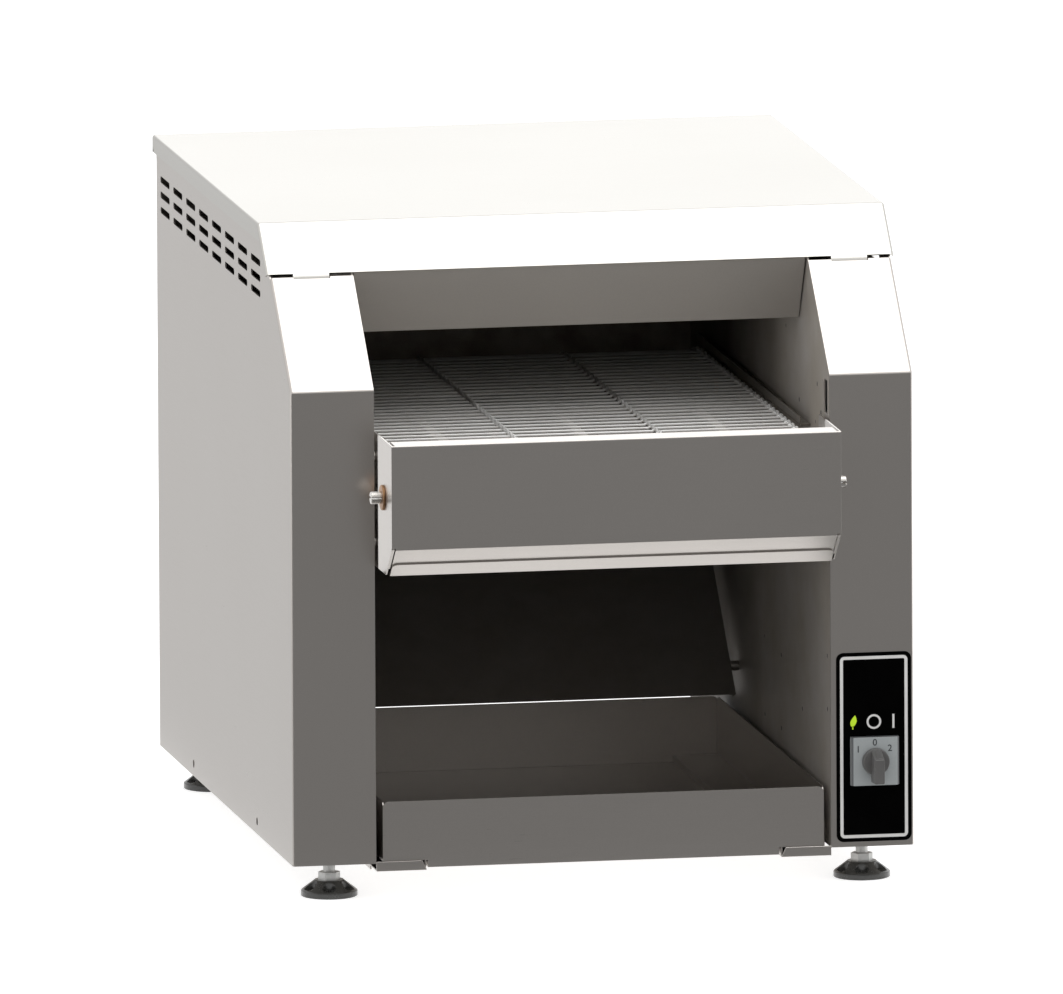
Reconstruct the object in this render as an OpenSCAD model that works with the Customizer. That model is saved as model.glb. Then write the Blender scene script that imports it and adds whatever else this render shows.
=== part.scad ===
// Conveyor toaster: sheet-metal machine with a wire belt that carries bread
// from the front, under a hood of heaters, and drops it down a chute into a tray.
// Modelled with z = 0 at the housings' lower edge and y = 0 at the front posts;
// place() then moves everything so that the origin is under the middle, on the floor.

/* [Housings] */
// Width across both side housings
body_w = 620; // [600:5:680]
// Depth from the front posts to the back panel
body_d = 740; // [730:5:800]
// Height from the housings' lower edge to the top
body_h = 614; // [608:1:650]
// Width of each front post
post_w = 83; // [80:1:90]
// Height at which the posts start to slope back
knee_h = 470; // [466:1:480]
// How far back the slope runs before the flat top
slope_run = 161; // [155:1:170]
// Sheet thickness of the housings and frame walls
skin = 1.5; // [1.2:0.1:2]
// Outside bend radius of the long edges
bend_r = 3; // [2:0.5:4]
// Width of the inward flange at the back of each casing
back_flange = 20; // [16:1:26]
// Distance from the back panel's lower edge to its first screws
panel_edge = 26; // [16:1:40]
// Distance from the hinge leaves down to the highest screws
panel_hinge_gap = 14; // [10:1:30]
// Height of the open slot under the back panel
back_slot = 34; // [28:1:40]

/* [Side vents] */
// Slots along each row
vent_columns = 8; // [5:1:8]
// Rows of slots
vent_rows = 3; // [1:1:4]
// Length of one slot
vent_len = 51; // [30:1:60]
// Height of one slot
vent_h = 6.6; // [4:0.2:9]
// Distance between columns
vent_pitch = 72.1; // [66:0.1:74]
// Distance between rows
vent_row_pitch = 15.3; // [12:0.1:18]
// Distance from the front of the first slot to the posts' face
vent_front = 162.5; // [150:0.5:170]
// Distance from the top of the machine to the centre of the highest row
vent_drop = 40.8; // [36:0.2:60]

/* [Hood] */
// Sheet thickness of the hood and visor
hood_skin = 1.5; // [1.2:0.1:2]
// Distance up the slope from the posts' bend to the hood's lower edge
hood_edge = 150; // [145:1:156]
// Gap between the hood's lower edge and the posts' sheet
hood_gap = 4.4; // [2:0.1:5]
// Overhang of the hood past the casings and the back panel
hood_over = 3.4; // [3:0.1:5]
// Depth of the hood's side and back flanges
hood_flange = 17; // [14:0.5:20]
// Flat depth of the flange along the slope, past its bend
hood_lip = 1; // [0.5:0.5:2]
// Step from the edge back to the flange, where its corner is cut away
flange_step = 0.5; // [0.3:0.1:1]
// Clearance between the hood and the frame under it
hood_play = 0.5; // [0.3:0.1:1]
// Width of the locating tab over each post
tab_w = 36; // [28:1:44]
// Length of the locating tab
tab_len = 4.5; // [3:0.5:6]
// Clearance between the tab's end and its notch
tab_gap = 2.2; // [2:0.1:3]
// Depth by which the tab's end is bent in
tab_bend = 1.4; // [0:0.1:2]
// Length of the visor plate under the hood
visor_len = 76; // [66:1:80]
// Angle of the visor below the horizontal
visor_angle = 60; // [55:1:65]
// Depth of the visor's bottom flange
visor_flange = 14; // [10:1:18]
// Gap between the visor and each frame wall
visor_gap = 1.5; // [1:0.1:3]
// Clearance behind the visor as it swings up past the oven's ceiling
visor_swing = 6; // [4:1:14]

/* [Hood hinges] */
// Radius of a hinge knuckle
knuckle_r = 5; // [4.5:0.1:6]
// Radius of the hinge pin
hinge_pin_r = 2.5; // [2:0.1:2.8]
// Distance of the hinge axis behind the back panel
hinge_out = 8; // [7.5:0.1:9]
// Distance of the hinge axis below the top
hinge_drop = 22.5; // [22:0.5:26]
// Length of one knuckle
knuckle_len = 16; // [12:0.5:20]
// Thickness of a hinge leaf
leaf_t = 2; // [1.6:0.1:2.4]
// Height of the fixed leaf below the axis
leaf_drop = 36; // [28:1:44]
// Distance from a casing's side to the first knuckle
hinge_inset = 2; // [1.5:0.5:12]

/* [Feet] */
// Height of the housings above the floor
foot_h = 37; // [34:1:45]
// Diameter of a foot's base
foot_d = 56; // [44:1:60]
// Thickness of the base's straight rim
foot_rim = 6; // [4:0.5:8]
// Height of the plastic base
foot_base_h = 16; // [13:0.5:17]
// Diameter of the stud
stud_d = 12; // [10:0.5:14]
// Length of the stud inside the housing
stud_up = 30; // [26:1:40]
// Width across the flats of the stud's hexagon
nut_af = 19; // [17:0.5:22]
// Height of the hexagon
nut_h = 7.6; // [6:0.2:8]
// Distance of a foot from the side of the machine
foot_in_x = 44; // [36:1:46]
// Distance of a foot from the front or the back
foot_in_y = 44.5; // [36:0.5:60]
// Height of the threaded insert above the floor channel
insert_h = 12; // [8:1:16]
// Radius of the threaded insert
insert_r = 11; // [9.5:0.5:14]

/* [Floor channels] */
// Thickness of the channel sheet
channel_t = 2; // [1.6:0.1:3]
// Height of the channel's outer flange
channel_h = 25; // [22:1:31]
// Diameter of the holes low in each casing's side
side_hole_d = 8; // [6:0.5:10]
// Height of the side holes
side_hole_z = 12.5; // [10:0.5:16]
// Distance of the side holes behind the posts' face
side_hole_y = [197.5, 550];

/* [Conveyor] */
// Height of both roller axes above the housings' lower edge
axis_z = 368.6; // [366:0.2:374]
// Distance of the front roller's axis ahead of the posts' face
idler_out = 32; // [30:0.5:34]
// Distance between belt wires
wire_pitch = 20; // [19.6:0.1:20.4]
// Diameter of a belt wire
wire_d = 2.5; // [1.6:0.1:2.6]
// Wires on each straight run
run_wires = 31; // [30:1:31]
// Wires round one full roller
roller_wires = 11; // [11:1:11]
// Gap between a frame wall and the belt's edge
belt_gap = 16.5; // [15:0.5:20]
// Lanes across the belt
belt_lanes = 3; // [2:1:4]
// Width of the belt's link strips
link_w = 2.4; // [2:0.1:4]
// Diameter of both roller shafts
shaft_d = 12; // [10:0.5:14]
// Length of the front shaft that stands out past each guard plate
shaft_out = 13; // [10:0.5:14]
// Radial running clearance of shafts in their bushings
run_fit = 0.05; // [0.02:0.01:0.1]
// Clearance between the sprockets and the belt wires
sprocket_play = 0.5; // [0.3:0.1:1]
// Thickness of a belt sprocket
sprocket_t = 6; // [4:0.5:10]
// Radius of a sprocket's hub
hub_r = 11; // [9:0.5:13]
// Radius of a bushing's sleeve
bush_r = 8; // [7.5:0.1:10]
// Radius of a bushing's flange
bush_flange_r = 12.5; // [11:0.5:15]
// Thickness of a bushing's flange
bush_flange_t = 2.5; // [2:0.1:3]
// Thickness of the belt's wear strips
slide_t = 4; // [3:0.5:6]
// Width of the belt's wear strips
slide_w = 10; // [6:1:16]
// Distance of the wear strips' front behind the posts' face
slide_front = 10; // [6:1:16]
// Distance of the wear strips' back ahead of the rear axis
slide_back = 28; // [22:1:34]
// Diameter of the cross bars that carry the strips
cross_bar_d = 8; // [6:0.5:10]
// Distance of the first cross bar behind the posts' face
cross_bar_front = 45; // [44:1:60]
// Distance of the last cross bar ahead of the rear axis
cross_bar_back = 48; // [40:1:60]
// Height of the belt guides' upper face
guide_z = 413; // [409:1:417]
// Height of a guide's upright face
guide_drop = 8; // [6:0.5:9]
// Gap between the belt's edge and each guide
guide_play = 5.5; // [3:0.5:8]
// Distance of the guides' front end behind the posts' face
guide_front = 98; // [90:1:110]

/* [Front guard] */
// Gap between each guard plate and the frame wall
guard_gap = 3.25; // [3:0.05:4]
// Distance of the guard's face ahead of the posts
guard_out = 76; // [75:1:82]
// Height of the guard's top edge
guard_top = 426; // [420:1:428]
// Height of the guard's vertical face
guard_face = 103; // [98:1:106]
// Length of the guard's sloping lower flange
guard_slope = 44.6; // [40:0.2:46]
// Angle of the lower flange below the horizontal
guard_angle = 41.3; // [38:0.1:45]
// Depth of the guard's top flange
guard_flange = 27; // [22:1:29]
// Width of the hem along the lower flange
hem_w = 19.7; // [14:0.1:24]
// Corner radius of the hem
hem_r = 6; // [4:0.5:8]
// Set-back of the flanges from the guard's ends
guard_relief = 3.9; // [3:0.1:6]
// How far the guard plates reach behind the posts' face
guard_back = 33; // [28:1:40]
// Radius of the spacers between guard plates and walls
spacer_r = 6; // [5:0.5:8]
// Distance of the spacers behind the posts' face
spacer_y = 15; // [12:0.5:20]
// Distance of the spacers from the guard plates' lower and upper edges
spacer_edge = 24; // [18:1:40]

/* [Oven] */
// Depth of the upper heaters below the reflector
heater_drop = 30; // [22:1:34]
// Number of upper heaters
upper_heaters_n = 5; // [3:1:5]
// Number of lower heaters
lower_heaters_n = 4; // [2:1:4]
// Diameter of a heater tube
heater_d = 8; // [6:0.5:10]
// Distance of the first upper heater behind the posts' face
heater_front = 235; // [225:1:245]
// Distance between upper heaters
heater_pitch = 80; // [60:1:84]
// Distance of the first lower heater behind the posts' face
lower_heater_front = 110; // [100:1:120]
// Distance between lower heaters
lower_heater_pitch = 120; // [80:1:124]
// Radius of a heater's ceramic insulator
ceramic_r = 9; // [7:0.5:11]
// Length of a ceramic insulator
ceramic_len = 12; // [10:0.5:16]
// Length of a heater past the frame wall
heater_tail = 22; // [18:1:26]
// Depth of the reflector's edges below its top
reflector_drop = 22; // [16:1:28]
// Distance of the reflector's front edge ahead of the first heater
reflector_front = 50; // [44:1:56]
// Distance of the reflector's back edge ahead of the rear shield
reflector_back = 60; // [50:1:80]
// Gap between the upper reflector and the ceiling
reflector_gap = 55; // [46:1:60]
// Distance of the ceiling below the top of the machine
ceiling_drop = 29; // [24:1:34]
// Depth of the lip along the ceiling's front edge
ceiling_lip = 20; // [12:1:24]
// Thickness of the oven's inner sheets
liner_t = 1.2; // [1:0.1:1.5]
// Distance of the rear shield ahead of the back panel's face
rear_space = 8; // [6:0.5:12]
// Depth of the lower reflector below the roller axes
lower_reflector_drop = 23.6; // [20:0.2:26]
// Distance of the lower reflector's back ahead of the rear axis
lower_reflector_back = 48; // [44:1:60]
// Height of the small lips along the oven's sheets
sheet_lip = 8; // [5:0.5:10]
// Depth of the shield under the belt below the roller axes
crumb_drop = 56; // [50:1:62]
// Distance of both sheets' front behind the guard plates
sheet_front = 7; // [4:1:20]
// How far that shield reaches behind the rear axis
crumb_back = 12; // [4:1:20]

/* [Chute] */
// Distance of the chute's lower edge behind the posts' face
chute_y = 446; // [430:1:460]
// Height of the chute's lower edge
chute_z = 81; // [78:1:90]
// Angle of the chute above the horizontal
chute_angle = 42.8; // [41:0.1:43.4]
// Depth of the chute's side flanges
chute_flange = 15; // [12:1:20]
// Distance from the chute's top to the end of its flanges
chute_flange_end = 30; // [24:1:40]
// Distance from the chute's lower edge to the start of its flanges
chute_flange_start = 8; // [4:1:12]
// Gap between the chute and each frame wall
chute_gap = 9.5; // [8:0.5:16]
// Distances of the bosses up the chute
boss_at = [42, 300];
// Radius of the bosses that carry the chute
boss_r = 5; // [4:0.5:6]

/* [Tray] */
// Gap between the tray and each frame wall
tray_gap = 7; // [6:0.5:10]
// Depth of the tray
tray_d = 556; // [500:2:570]
// Height of the tray's rim above the housings' lower edge
tray_top = 61; // [50:1:66]
// Thickness of the tray's sheet
tray_t = 1.2; // [1:0.1:1.6]
// Corner radius of the tray's front wall
tray_r = 6; // [4:0.5:10]
// Depth of the tray's well below the housings' lower edge
well_drop = 5.3; // [4:0.1:6]
// Width of each runner
runner_w = 50; // [40:1:60]
// Thickness of the runners
runner_t = 1.5; // [1.2:0.1:2]
// Height of the runners' lips and rails above the housings' lower edge
lip_top = 2; // [1:0.1:3]
// Slant of the lips' inner ends
lip_slant = 4.4; // [2:0.2:8]
// Depth of the runners' plate below the housings' lower edge
runner_drop = 7.5; // [7:0.1:9]
// Depth of the flange on the frame wall below the housings' lower edge
runner_flange = 11; // [10:0.5:13]
// Distance from the lip to the front of that flange
runner_notch = 33; // [26:1:40]
// Height of that flange above the housings' lower edge
runner_rise = 20; // [14:1:26]
// How far the runners reach behind the tray
runner_extra = 6; // [4:1:12]
// Clearance between the tray's well and the runners
well_gap = 3; // [2:0.5:6]

/* [Controls] */
// Width of the control label
label_w = 75; // [68:0.5:76]
// Height of the control label
label_h = 188; // [170:1:200]
// Height of the label's lower edge
label_z = 5; // [3:0.5:8]
// Distance from the casing's side to the label
label_inset = 2.5; // [2:0.1:3.5]
// Thickness of the label
label_t = 0.6; // [0.4:0.1:1]
// Corner radius of the label
label_r = 7; // [4:0.5:10]
// Side of the square switch plate
plate_w = 48; // [44:0.5:52]
// Thickness of the switch plate
plate_t = 8; // [6:0.5:9]
// Bevel round the switch plate
plate_bevel = 2.5; // [1:0.5:3]
// Height of the switch above the housings' lower edge
switch_z = 85.7; // [80:0.1:92]
// Diameter of the knob's base
knob_d = 27; // [24:0.5:30]
// Thickness of the knob's base
knob_base_t = 6; // [4:0.5:8]
// Width of the knob's grip
grip_w = 10.8; // [9:0.1:12]
// Length of the knob's grip
grip_len = 32; // [28:0.5:34]
// How far the grip's lower end reaches below the knob's axis
grip_low = 20; // [18:0.5:21]
// Height of the grip above the knob's base
grip_t = 16; // [12:0.5:18]
// How far the grip's upper end slopes back
grip_slope = 6; // [2:0.5:8]
// Diameter of the knob's spindle
spindle_d = 8; // [6:0.5:9]
// Length of the spindle inside the housing
spindle_in = 20; // [14:1:26]
// Side of the switch body
switch_w = 44; // [38:0.5:46]
// Depth of the switch body
switch_d = 48; // [40:1:56]

/* [Drive and mains] */
// Distance from the frame wall to the gearbox
motor_gap = 36; // [34:0.5:38]
// Thickness of the gearbox
gearbox_t = 20; // [16:0.5:22]
// Size of the gearbox across y and z
gearbox_size = [60, 72];
// Length of the motor
motor_len = 16; // [12:0.5:18]
// Radius of the motor
motor_r = 27; // [22:0.5:29]
// Radius of the motor's output shaft
output_r = 4; // [3:0.1:5]
// Radius of the shaft coupling
coupling_r = 11; // [9:0.5:14]
// Radius of a motor standoff
standoff_r = 4; // [3:0.5:5]
// Distance from the back panel's face to the front of the terminal block
terminal_back = 140; // [120:1:200]
// Height of the terminal block
terminal_z = 40; // [34:1:60]
// Number of terminals
terminal_n = 5; // [3:1:6]
// Distance between terminals
terminal_pitch = 15; // [12:0.5:18]
// Thickness of the terminal block
terminal_t = 24; // [20:1:30]
// Height of the terminal block's body
terminal_h = 22; // [18:1:28]
// Wall of the terminal block
terminal_wall = 4; // [3:0.2:5]
// Distance of the safety thermostat behind the posts' face
thermostat_y = 400; // [300:10:500]
// Height of the safety thermostat above the upper reflector
thermostat_rise = 15; // [10:1:18]
// Radius of the safety thermostat
thermostat_r = 12; // [9:0.5:14]
// Thickness of the safety thermostat
thermostat_t = 10; // [8:0.5:14]
// Bore radius of the cable gland
gland_bore_r = 4.5; // [3:0.1:5]
// Outer radius of the gland's thread
gland_r = 8; // [7:0.1:9]
// Distance of the gland from the machine's side
gland_in = 40; // [30:1:50]
// Height of the gland
gland_z = 60; // [50:1:90]

/* [Hidden] */

steel_side = "#bab5b0";
steel_front = "#8a8682";
steel_dark = "#6c6965";
steel_bright = "#cfcac5";
bronze = "#b07a4a";
ceramic_white = "#e6e0d4";
black = "#1c1c1e";
knob_grey = "#5e5c5b";
plate_grey = "#9a9ea3";

round_fn = 48;
bore_fn = 48;
over = 1;                       // how far a cutter runs past a face

// Main planes
out_x = body_w / 2;             // outer face of a casing
in_x = out_x - post_w;          // inner face of a frame wall
mid_y = (body_d + hinge_out + knuckle_r - guard_out) / 2;
rise = body_h - knee_h;
slope_len = norm([slope_run, rise]);
slope_tilt = -atan2(slope_run, rise);
su = [slope_run, rise] / slope_len;
sn = [-rise, slope_run] / slope_len;
hood_drop = hood_skin + hood_play;
cap_z = body_h - hood_drop;     // top of everything under the hood
sheet_end = hood_edge - hood_gap;
hood_x = out_x + hood_over;
hood_y = body_d + hood_over;
back_in = body_d - skin;        // inner face of the back panel
shield_y = body_d - rear_space;
ceiling_z = body_h - ceiling_drop;
reflector_z = ceiling_z - reflector_gap;
upper_heater_z = reflector_z - heater_drop;

// Conveyor
belt_r = wire_pitch * roller_wires / (2 * PI);  // middle of the wires round a roller
wire_r = wire_d / 2;
drive_y = run_wires * wire_pitch - idler_out;
belt_x = in_x - belt_gap;
shaft_r = shaft_d / 2;
tip_r = belt_r - wire_r - sprocket_play;
strip_top = axis_z + belt_r - wire_r;
bar_z = strip_top - slide_t - cross_bar_d / 2;
lower_reflector_z = axis_z - lower_reflector_drop;
crumb_z = axis_z - crumb_drop;
lane_w = 2 * belt_x / belt_lanes;
sprocket_x = [for (i = [0 : belt_lanes]) -belt_x + i * lane_w + (i == 0 ? 10 : i == belt_lanes ? -10 : 0)];
guard_x = in_x - guard_gap;     // outer face of a guard plate
guard_low = guard_top - guard_face;
guard_foot = [-guard_out, guard_low] + guard_slope * [cos(guard_angle), -sin(guard_angle)];

// Places shared by several pieces
label_x = out_x - label_inset - label_w / 2;
foot_x = out_x - foot_in_x;
rear_foot_y = body_d - foot_in_y;
hinge_y = body_d + hinge_out;
hinge_z = body_h - hinge_drop;
chute_rise = tan(chute_angle);
chute_top_y = shield_y;
chute_top_z = chute_z + (chute_top_y - chute_y) * chute_rise;
lower_heater_y = [for (i = [0 : lower_heaters_n - 1]) lower_heater_front + i * lower_heater_pitch];
upper_heater_y = [for (i = [0 : upper_heaters_n - 1]) heater_front + i * heater_pitch];
cross_bar_y = [for (t = [0, 0.5, 1]) cross_bar_front + t * (drive_y - cross_bar_back - cross_bar_front)];
spacer_z = [guard_foot[1] + spacer_edge, guard_top - spacer_edge];
panel_screw_low = back_slot + panel_edge;
panel_screw_high = hinge_z - leaf_drop - panel_hinge_gap;
panel_screw_z = [for (t = [0 : 3]) panel_screw_low + t * (panel_screw_high - panel_screw_low) / 3];
panel_screw_x = out_x - skin - back_flange / 2;
motor_corner = [gearbox_size[0] / 2 - 6, gearbox_size[1] / 2 - 7];
spindle_r = spindle_d / 2;

// A point at distance s up the slope from the posts' bend, n outside the sheet
function on_slope(s, n = 0) = [0, knee_h] + s * su + n * sn;
// The distance up the slope at which a line n outside the sheet reaches y or z
function slope_at_y(y, n) = (y - n * sn[0]) / su[0];
function slope_at_z(z, n) = (z - knee_h - n * sn[1]) / su[1];
function turned(angle, v) = [v[0] * cos(angle) - v[1] * sin(angle), v[0] * sin(angle) + v[1] * cos(angle)];

visor_top = on_slope(hood_edge + 1, -hood_skin);
visor_tip = visor_top + visor_len * [cos(visor_angle), -sin(visor_angle)];

module place() translate([0, -mid_y, foot_h]) children();

module pair() {
  children();
  mirror([1, 0, 0]) children();
}

module block(low, high) translate(low) cube(high - low);

// An outline in y and z, drawn out along x
module prism(points, x0, x1)
  translate([x0, 0, 0]) rotate([90, 0, 90]) linear_extrude(x1 - x0) polygon(points);

// An outline in x and z, drawn out along y
module prism_front(points, y0, y1)
  translate([0, y1, 0]) rotate([90, 0, 0]) linear_extrude(y1 - y0) polygon(points);

module rod_x(x0, x1, y, z, r, fn = round_fn)
  translate([x0, y, z]) rotate([0, 90, 0]) cylinder(h = x1 - x0, r = r, $fn = fn);

module rod_y(y0, y1, x, z, r, fn = round_fn)
  translate([x, y0, z]) rotate([-90, 0, 0]) cylinder(h = y1 - y0, r = r, $fn = fn);

// A slot with round ends through a side sheet
module slot_x(x0, x1, y0, y1, z0, z1) {
  r = (z1 - z0) / 2;
  block([x0, y0 + r, z0], [x1, y1 - r, z1]);
  for (y = [y0 + r, y1 - r]) rod_x(x0, x1, y, z0 + r, r, 24);
}

// What a bend takes off a long edge: the edge lies on local z, the sheet at +x and +y
module edge_cut(length, r) difference() {
  block([-over, -over, -over], [r, r, length + over]);
  translate([r, r, -2 * over]) cylinder(h = length + 4 * over, r = r, $fn = round_fn);
}

// A thin sheet between two points of the y-z plane, with its thickness on the left of the line
module sheet_line(a, b, t, x0, x1) {
  along = (b - a) / norm(b - a);
  side = turned(90, along) * t;
  prism([a, b, b + side, a + side], x0, x1);
}

// ---------- side housings ----------

module casing_sheet() {
  outline = [
    [0, 0], [0, knee_h], on_slope(sheet_end), on_slope(sheet_end, -hood_drop),
    on_slope(slope_at_z(cap_z, -hood_drop), -hood_drop), [body_d, cap_z], [body_d, 0]
  ];
  hollow = [
    [skin, -over], [skin, on_slope(slope_at_y(skin, -skin), -skin)[1]],
    on_slope(slope_at_z(body_h + over, -skin), -skin),
    [body_d + over, body_h + over], [body_d + over, -over]
  ];
  difference() {
    prism(outline, -out_x, -in_x);
    prism(hollow, -out_x + skin, -in_x + over);
    translate([-out_x, 0, 0]) edge_cut(knee_h, bend_r);
    translate([-out_x, 0, knee_h]) rotate([slope_tilt, 0, 0]) edge_cut(sheet_end, bend_r);
    for (row = [0 : vent_rows - 1], column = [0 : vent_columns - 1]) {
      y = vent_front + column * vent_pitch;
      z = body_h - vent_drop - row * vent_row_pitch;
      slot_x(-out_x - over, -out_x + skin + over, y, y + vent_len, z - vent_h / 2, z + vent_h / 2);
    }
    for (y = side_hole_y) rod_x(-out_x - over, -out_x + skin + over, y, side_hole_z, side_hole_d / 2);
    tab_notch();
  }
  difference() {
    block([-out_x + skin, back_in - skin, back_slot + 2], [-out_x + skin + back_flange, back_in, cap_z]);
    for (z = panel_screw_z) rod_y(back_in - 2 * skin, body_d, -panel_screw_x, z, 2, 24);
  }
}

// The notch in a post's sheet that the hood's tab drops into
module tab_notch() {
  half = tab_w / 2 + 0.3;
  x = -out_x + post_w / 2;
  low = hood_edge - tab_len - tab_gap;
  prism([
    on_slope(low, over), on_slope(sheet_end + over, over),
    on_slope(sheet_end + over, -2 * skin), on_slope(low, -2 * skin)
  ], x - half, x + half);
}

module left_casing() color(steel_side) place() casing_sheet();

module right_casing() color(steel_side) place() difference() {
  mirror([1, 0, 0]) casing_sheet();
  rod_y(-over, skin + over, label_x, switch_z, spindle_r + 1);
}

module frame_wall() difference() {
  prism([
    [skin, 0], [skin, on_slope(slope_at_y(skin, -skin), -skin)[1]],
    on_slope(sheet_end, -skin), on_slope(sheet_end, -hood_drop),
    on_slope(slope_at_z(cap_z, -hood_drop), -hood_drop), [back_in, cap_z], [back_in, 0]
  ], -in_x - skin, -in_x);
  // slot and holes for lifting off the front guard
  block([-in_x - skin - over, 12, guard_top + 3], [-in_x + over, 29, guard_top + 36]);
  for (p = [[64, 451, 2.5], [158, 421, 2.5], [226, 484, 2], [73, 412, 2], [45, 425, 3]])
    rod_x(-in_x - skin - over, -in_x + over, p[0], p[1], p[2], 24);
  for (p = [[17, 188, 2.5], [17, 135, 2.5], [148, 114, 2.5], [257, 150, 2.5], [257, 77, 2.5],
            [344, 77, 2.5], [344, 155, 2]])
    rod_x(-in_x - skin - over, -in_x + over, p[0], p[1], p[2], 24);
  for (y = upper_heater_y) rod_x(-in_x - skin - over, -in_x + over, y, upper_heater_z, ceramic_r);
  for (y = lower_heater_y) rod_x(-in_x - skin - over, -in_x + over, y, axis_z, ceramic_r);
  rod_x(-in_x - skin - over, -in_x + over, drive_y, axis_z, bush_r);
}

module left_frame_wall() color(steel_dark) place() frame_wall();

module right_frame_wall() color(steel_dark) place() mirror([1, 0, 0]) frame_wall();

module floor_channel() difference() {
  union() {
    block([-out_x + skin, skin, 0], [-in_x - skin, body_d, channel_t]);
    block([-out_x + skin, skin, 0], [-out_x + skin + channel_t, back_in - skin, channel_h]);
    block([-out_x + skin, back_in, 0], [-in_x, body_d, back_slot - 0.5]);
  }
  for (y = [foot_in_y, rear_foot_y])
    translate([-foot_x, y, -over]) cylinder(h = channel_t + 2 * over, r = stud_d / 2 + 0.5, $fn = bore_fn);
  for (y = side_hole_y)
    rod_x(-out_x, -out_x + skin + channel_t + over, y, side_hole_z, side_hole_d / 2);
}

module floor_channels() color(steel_dark) place() pair() floor_channel();

module foot_inserts() color(steel_bright) place() pair()
  for (y = [foot_in_y, rear_foot_y]) translate([-foot_x, y, channel_t]) difference() {
    cylinder(h = insert_h, r = insert_r, $fn = round_fn);
    translate([0, 0, -over]) cylinder(h = insert_h + 2 * over, r = stud_d / 2 + run_fit, $fn = bore_fn);
  }

module back_panel() color(steel_side) place() difference() {
  block([-out_x + skin, back_in, back_slot], [out_x - skin, body_d, cap_z]);
  pair() for (z = panel_screw_z) rod_y(back_in - over, body_d + over, panel_screw_x, z, 2.2, 24);
  rod_y(back_in - over, body_d + over, out_x - gland_in, gland_z, gland_r);
}

module back_panel_screws() color(steel_bright) place() pair() for (z = panel_screw_z) {
  rod_y(back_in - skin - 4, body_d, panel_screw_x, z, 2, 24);
  rod_y(body_d, body_d + 2.4, panel_screw_x, z, 4, 24);
}

// ---------- oven ----------

module rear_shield() color(steel_dark) place()
  block([-in_x, shield_y, chute_top_z], [in_x, shield_y + liner_t, ceiling_z]);

module oven_ceiling() color(steel_side) place() {
  front = visor_tip[0] + visor_flange + visor_swing;
  block([-in_x, front, ceiling_z], [in_x, back_in, ceiling_z + skin]);
  block([-in_x, front, ceiling_z - ceiling_lip], [in_x, front + skin, ceiling_z]);
}

module upper_reflector() color(steel_bright) place() {
  front = heater_front - reflector_front;
  back = shield_y - reflector_back;
  low = reflector_z - reflector_drop;
  foot = liner_t * sqrt(2);       // the sheet's width where its 45 degree sides end
  knee = foot - liner_t;
  prism([
    [front, low], [front + reflector_drop, reflector_z],
    [back - reflector_drop, reflector_z], [back, low],
    [back + foot, low], [back - reflector_drop + knee, reflector_z + liner_t],
    [front + reflector_drop - knee, reflector_z + liner_t], [front - foot, low]
  ], -in_x, in_x);
}

// A flat sheet between the frame walls with a lip along its front and back edges
module lipped_sheet(front, back, z) {
  block([-in_x, front, z], [in_x, back, z + liner_t]);
  for (y = [front, back - liner_t]) block([-in_x, y, z], [in_x, y + liner_t, z + sheet_lip]);
}

module lower_reflector() color(steel_bright) place()
  lipped_sheet(guard_back + sheet_front, drive_y - lower_reflector_back, lower_reflector_z);

module crumb_shield() color(steel_dark) place()
  lipped_sheet(guard_back + sheet_front, drive_y + crumb_back, crumb_z);

module heater(y, z) {
  rod_x(-in_x - heater_tail, in_x + heater_tail, y, z, heater_d / 2);
  pair() rod_x(in_x + heater_tail, in_x + heater_tail + 10, y, z, heater_d / 4, 24);
}

module upper_heaters() color("#a85c3a") place() for (y = upper_heater_y) heater(y, upper_heater_z);

module lower_heaters() color("#a85c3a") place() for (y = lower_heater_y) heater(y, axis_z);

module insulator(y, z) difference() {
  rod_x(in_x - 2, in_x - 2 + ceramic_len, y, z, ceramic_r);
  rod_x(in_x - 2 - over, in_x + ceramic_len, y, z, heater_d / 2);
}

module heater_insulators() color(ceramic_white) place() pair() {
  for (y = upper_heater_y) insulator(y, upper_heater_z);
  for (y = lower_heater_y) insulator(y, axis_z);
}

// ---------- chute and tray ----------

chute_along = [cos(chute_angle), sin(chute_angle)];
chute_down = turned(-90, chute_along);
chute_low = [chute_y, chute_z];
chute_high = [chute_top_y, chute_top_z];

module chute() color(steel_dark) place() {
  half = in_x - chute_gap;
  sheet_line(chute_high, chute_low, liner_t, -half, half);
  pair() prism([
    chute_low + chute_down * liner_t / 2,
    chute_high - chute_along * chute_flange_end + chute_down * liner_t / 2,
    chute_high - chute_along * chute_flange_end + chute_down * chute_flange,
    chute_low + chute_along * chute_flange_start + chute_down * chute_flange
  ], half - liner_t, half);
}

module chute_bosses() color(steel_bright) place() pair() for (s = boss_at) {
  p = chute_low + chute_along * s + chute_down * (chute_flange / 2 + 1);
  rod_x(in_x - chute_gap, in_x, p[0], p[1], boss_r);
}

// The tray's raised edges slide on the rail; its well hangs between the two runners
module tray_runner() {
  far = -in_x + runner_w;
  low = -runner_drop;
  back = tray_d + runner_extra;
  block([-in_x, -runner_t, low], [far, back, low + runner_t]);
  prism_front([[-in_x, low], [far, low], [far - lip_slant, lip_top], [-in_x, lip_top]], -runner_t, 0);
  block([far - runner_t, runner_t, low], [far, back, lip_top]);
  block([-in_x, runner_notch, -runner_flange], [-in_x + runner_t, back, runner_rise]);
}

module tray_runners() color(steel_front) place() pair() tray_runner();

// A wall of the tray with two rounded top corners, drawn in its own plane from the origin
module round_topped(length, height, t, r) {
  block([0, 0, 0], [length, t, height - r]);
  block([r, 0, 0], [length - r, t, height]);
  for (x = [r, length - r]) rod_y(0, t, x, height - r, r);
}

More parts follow.
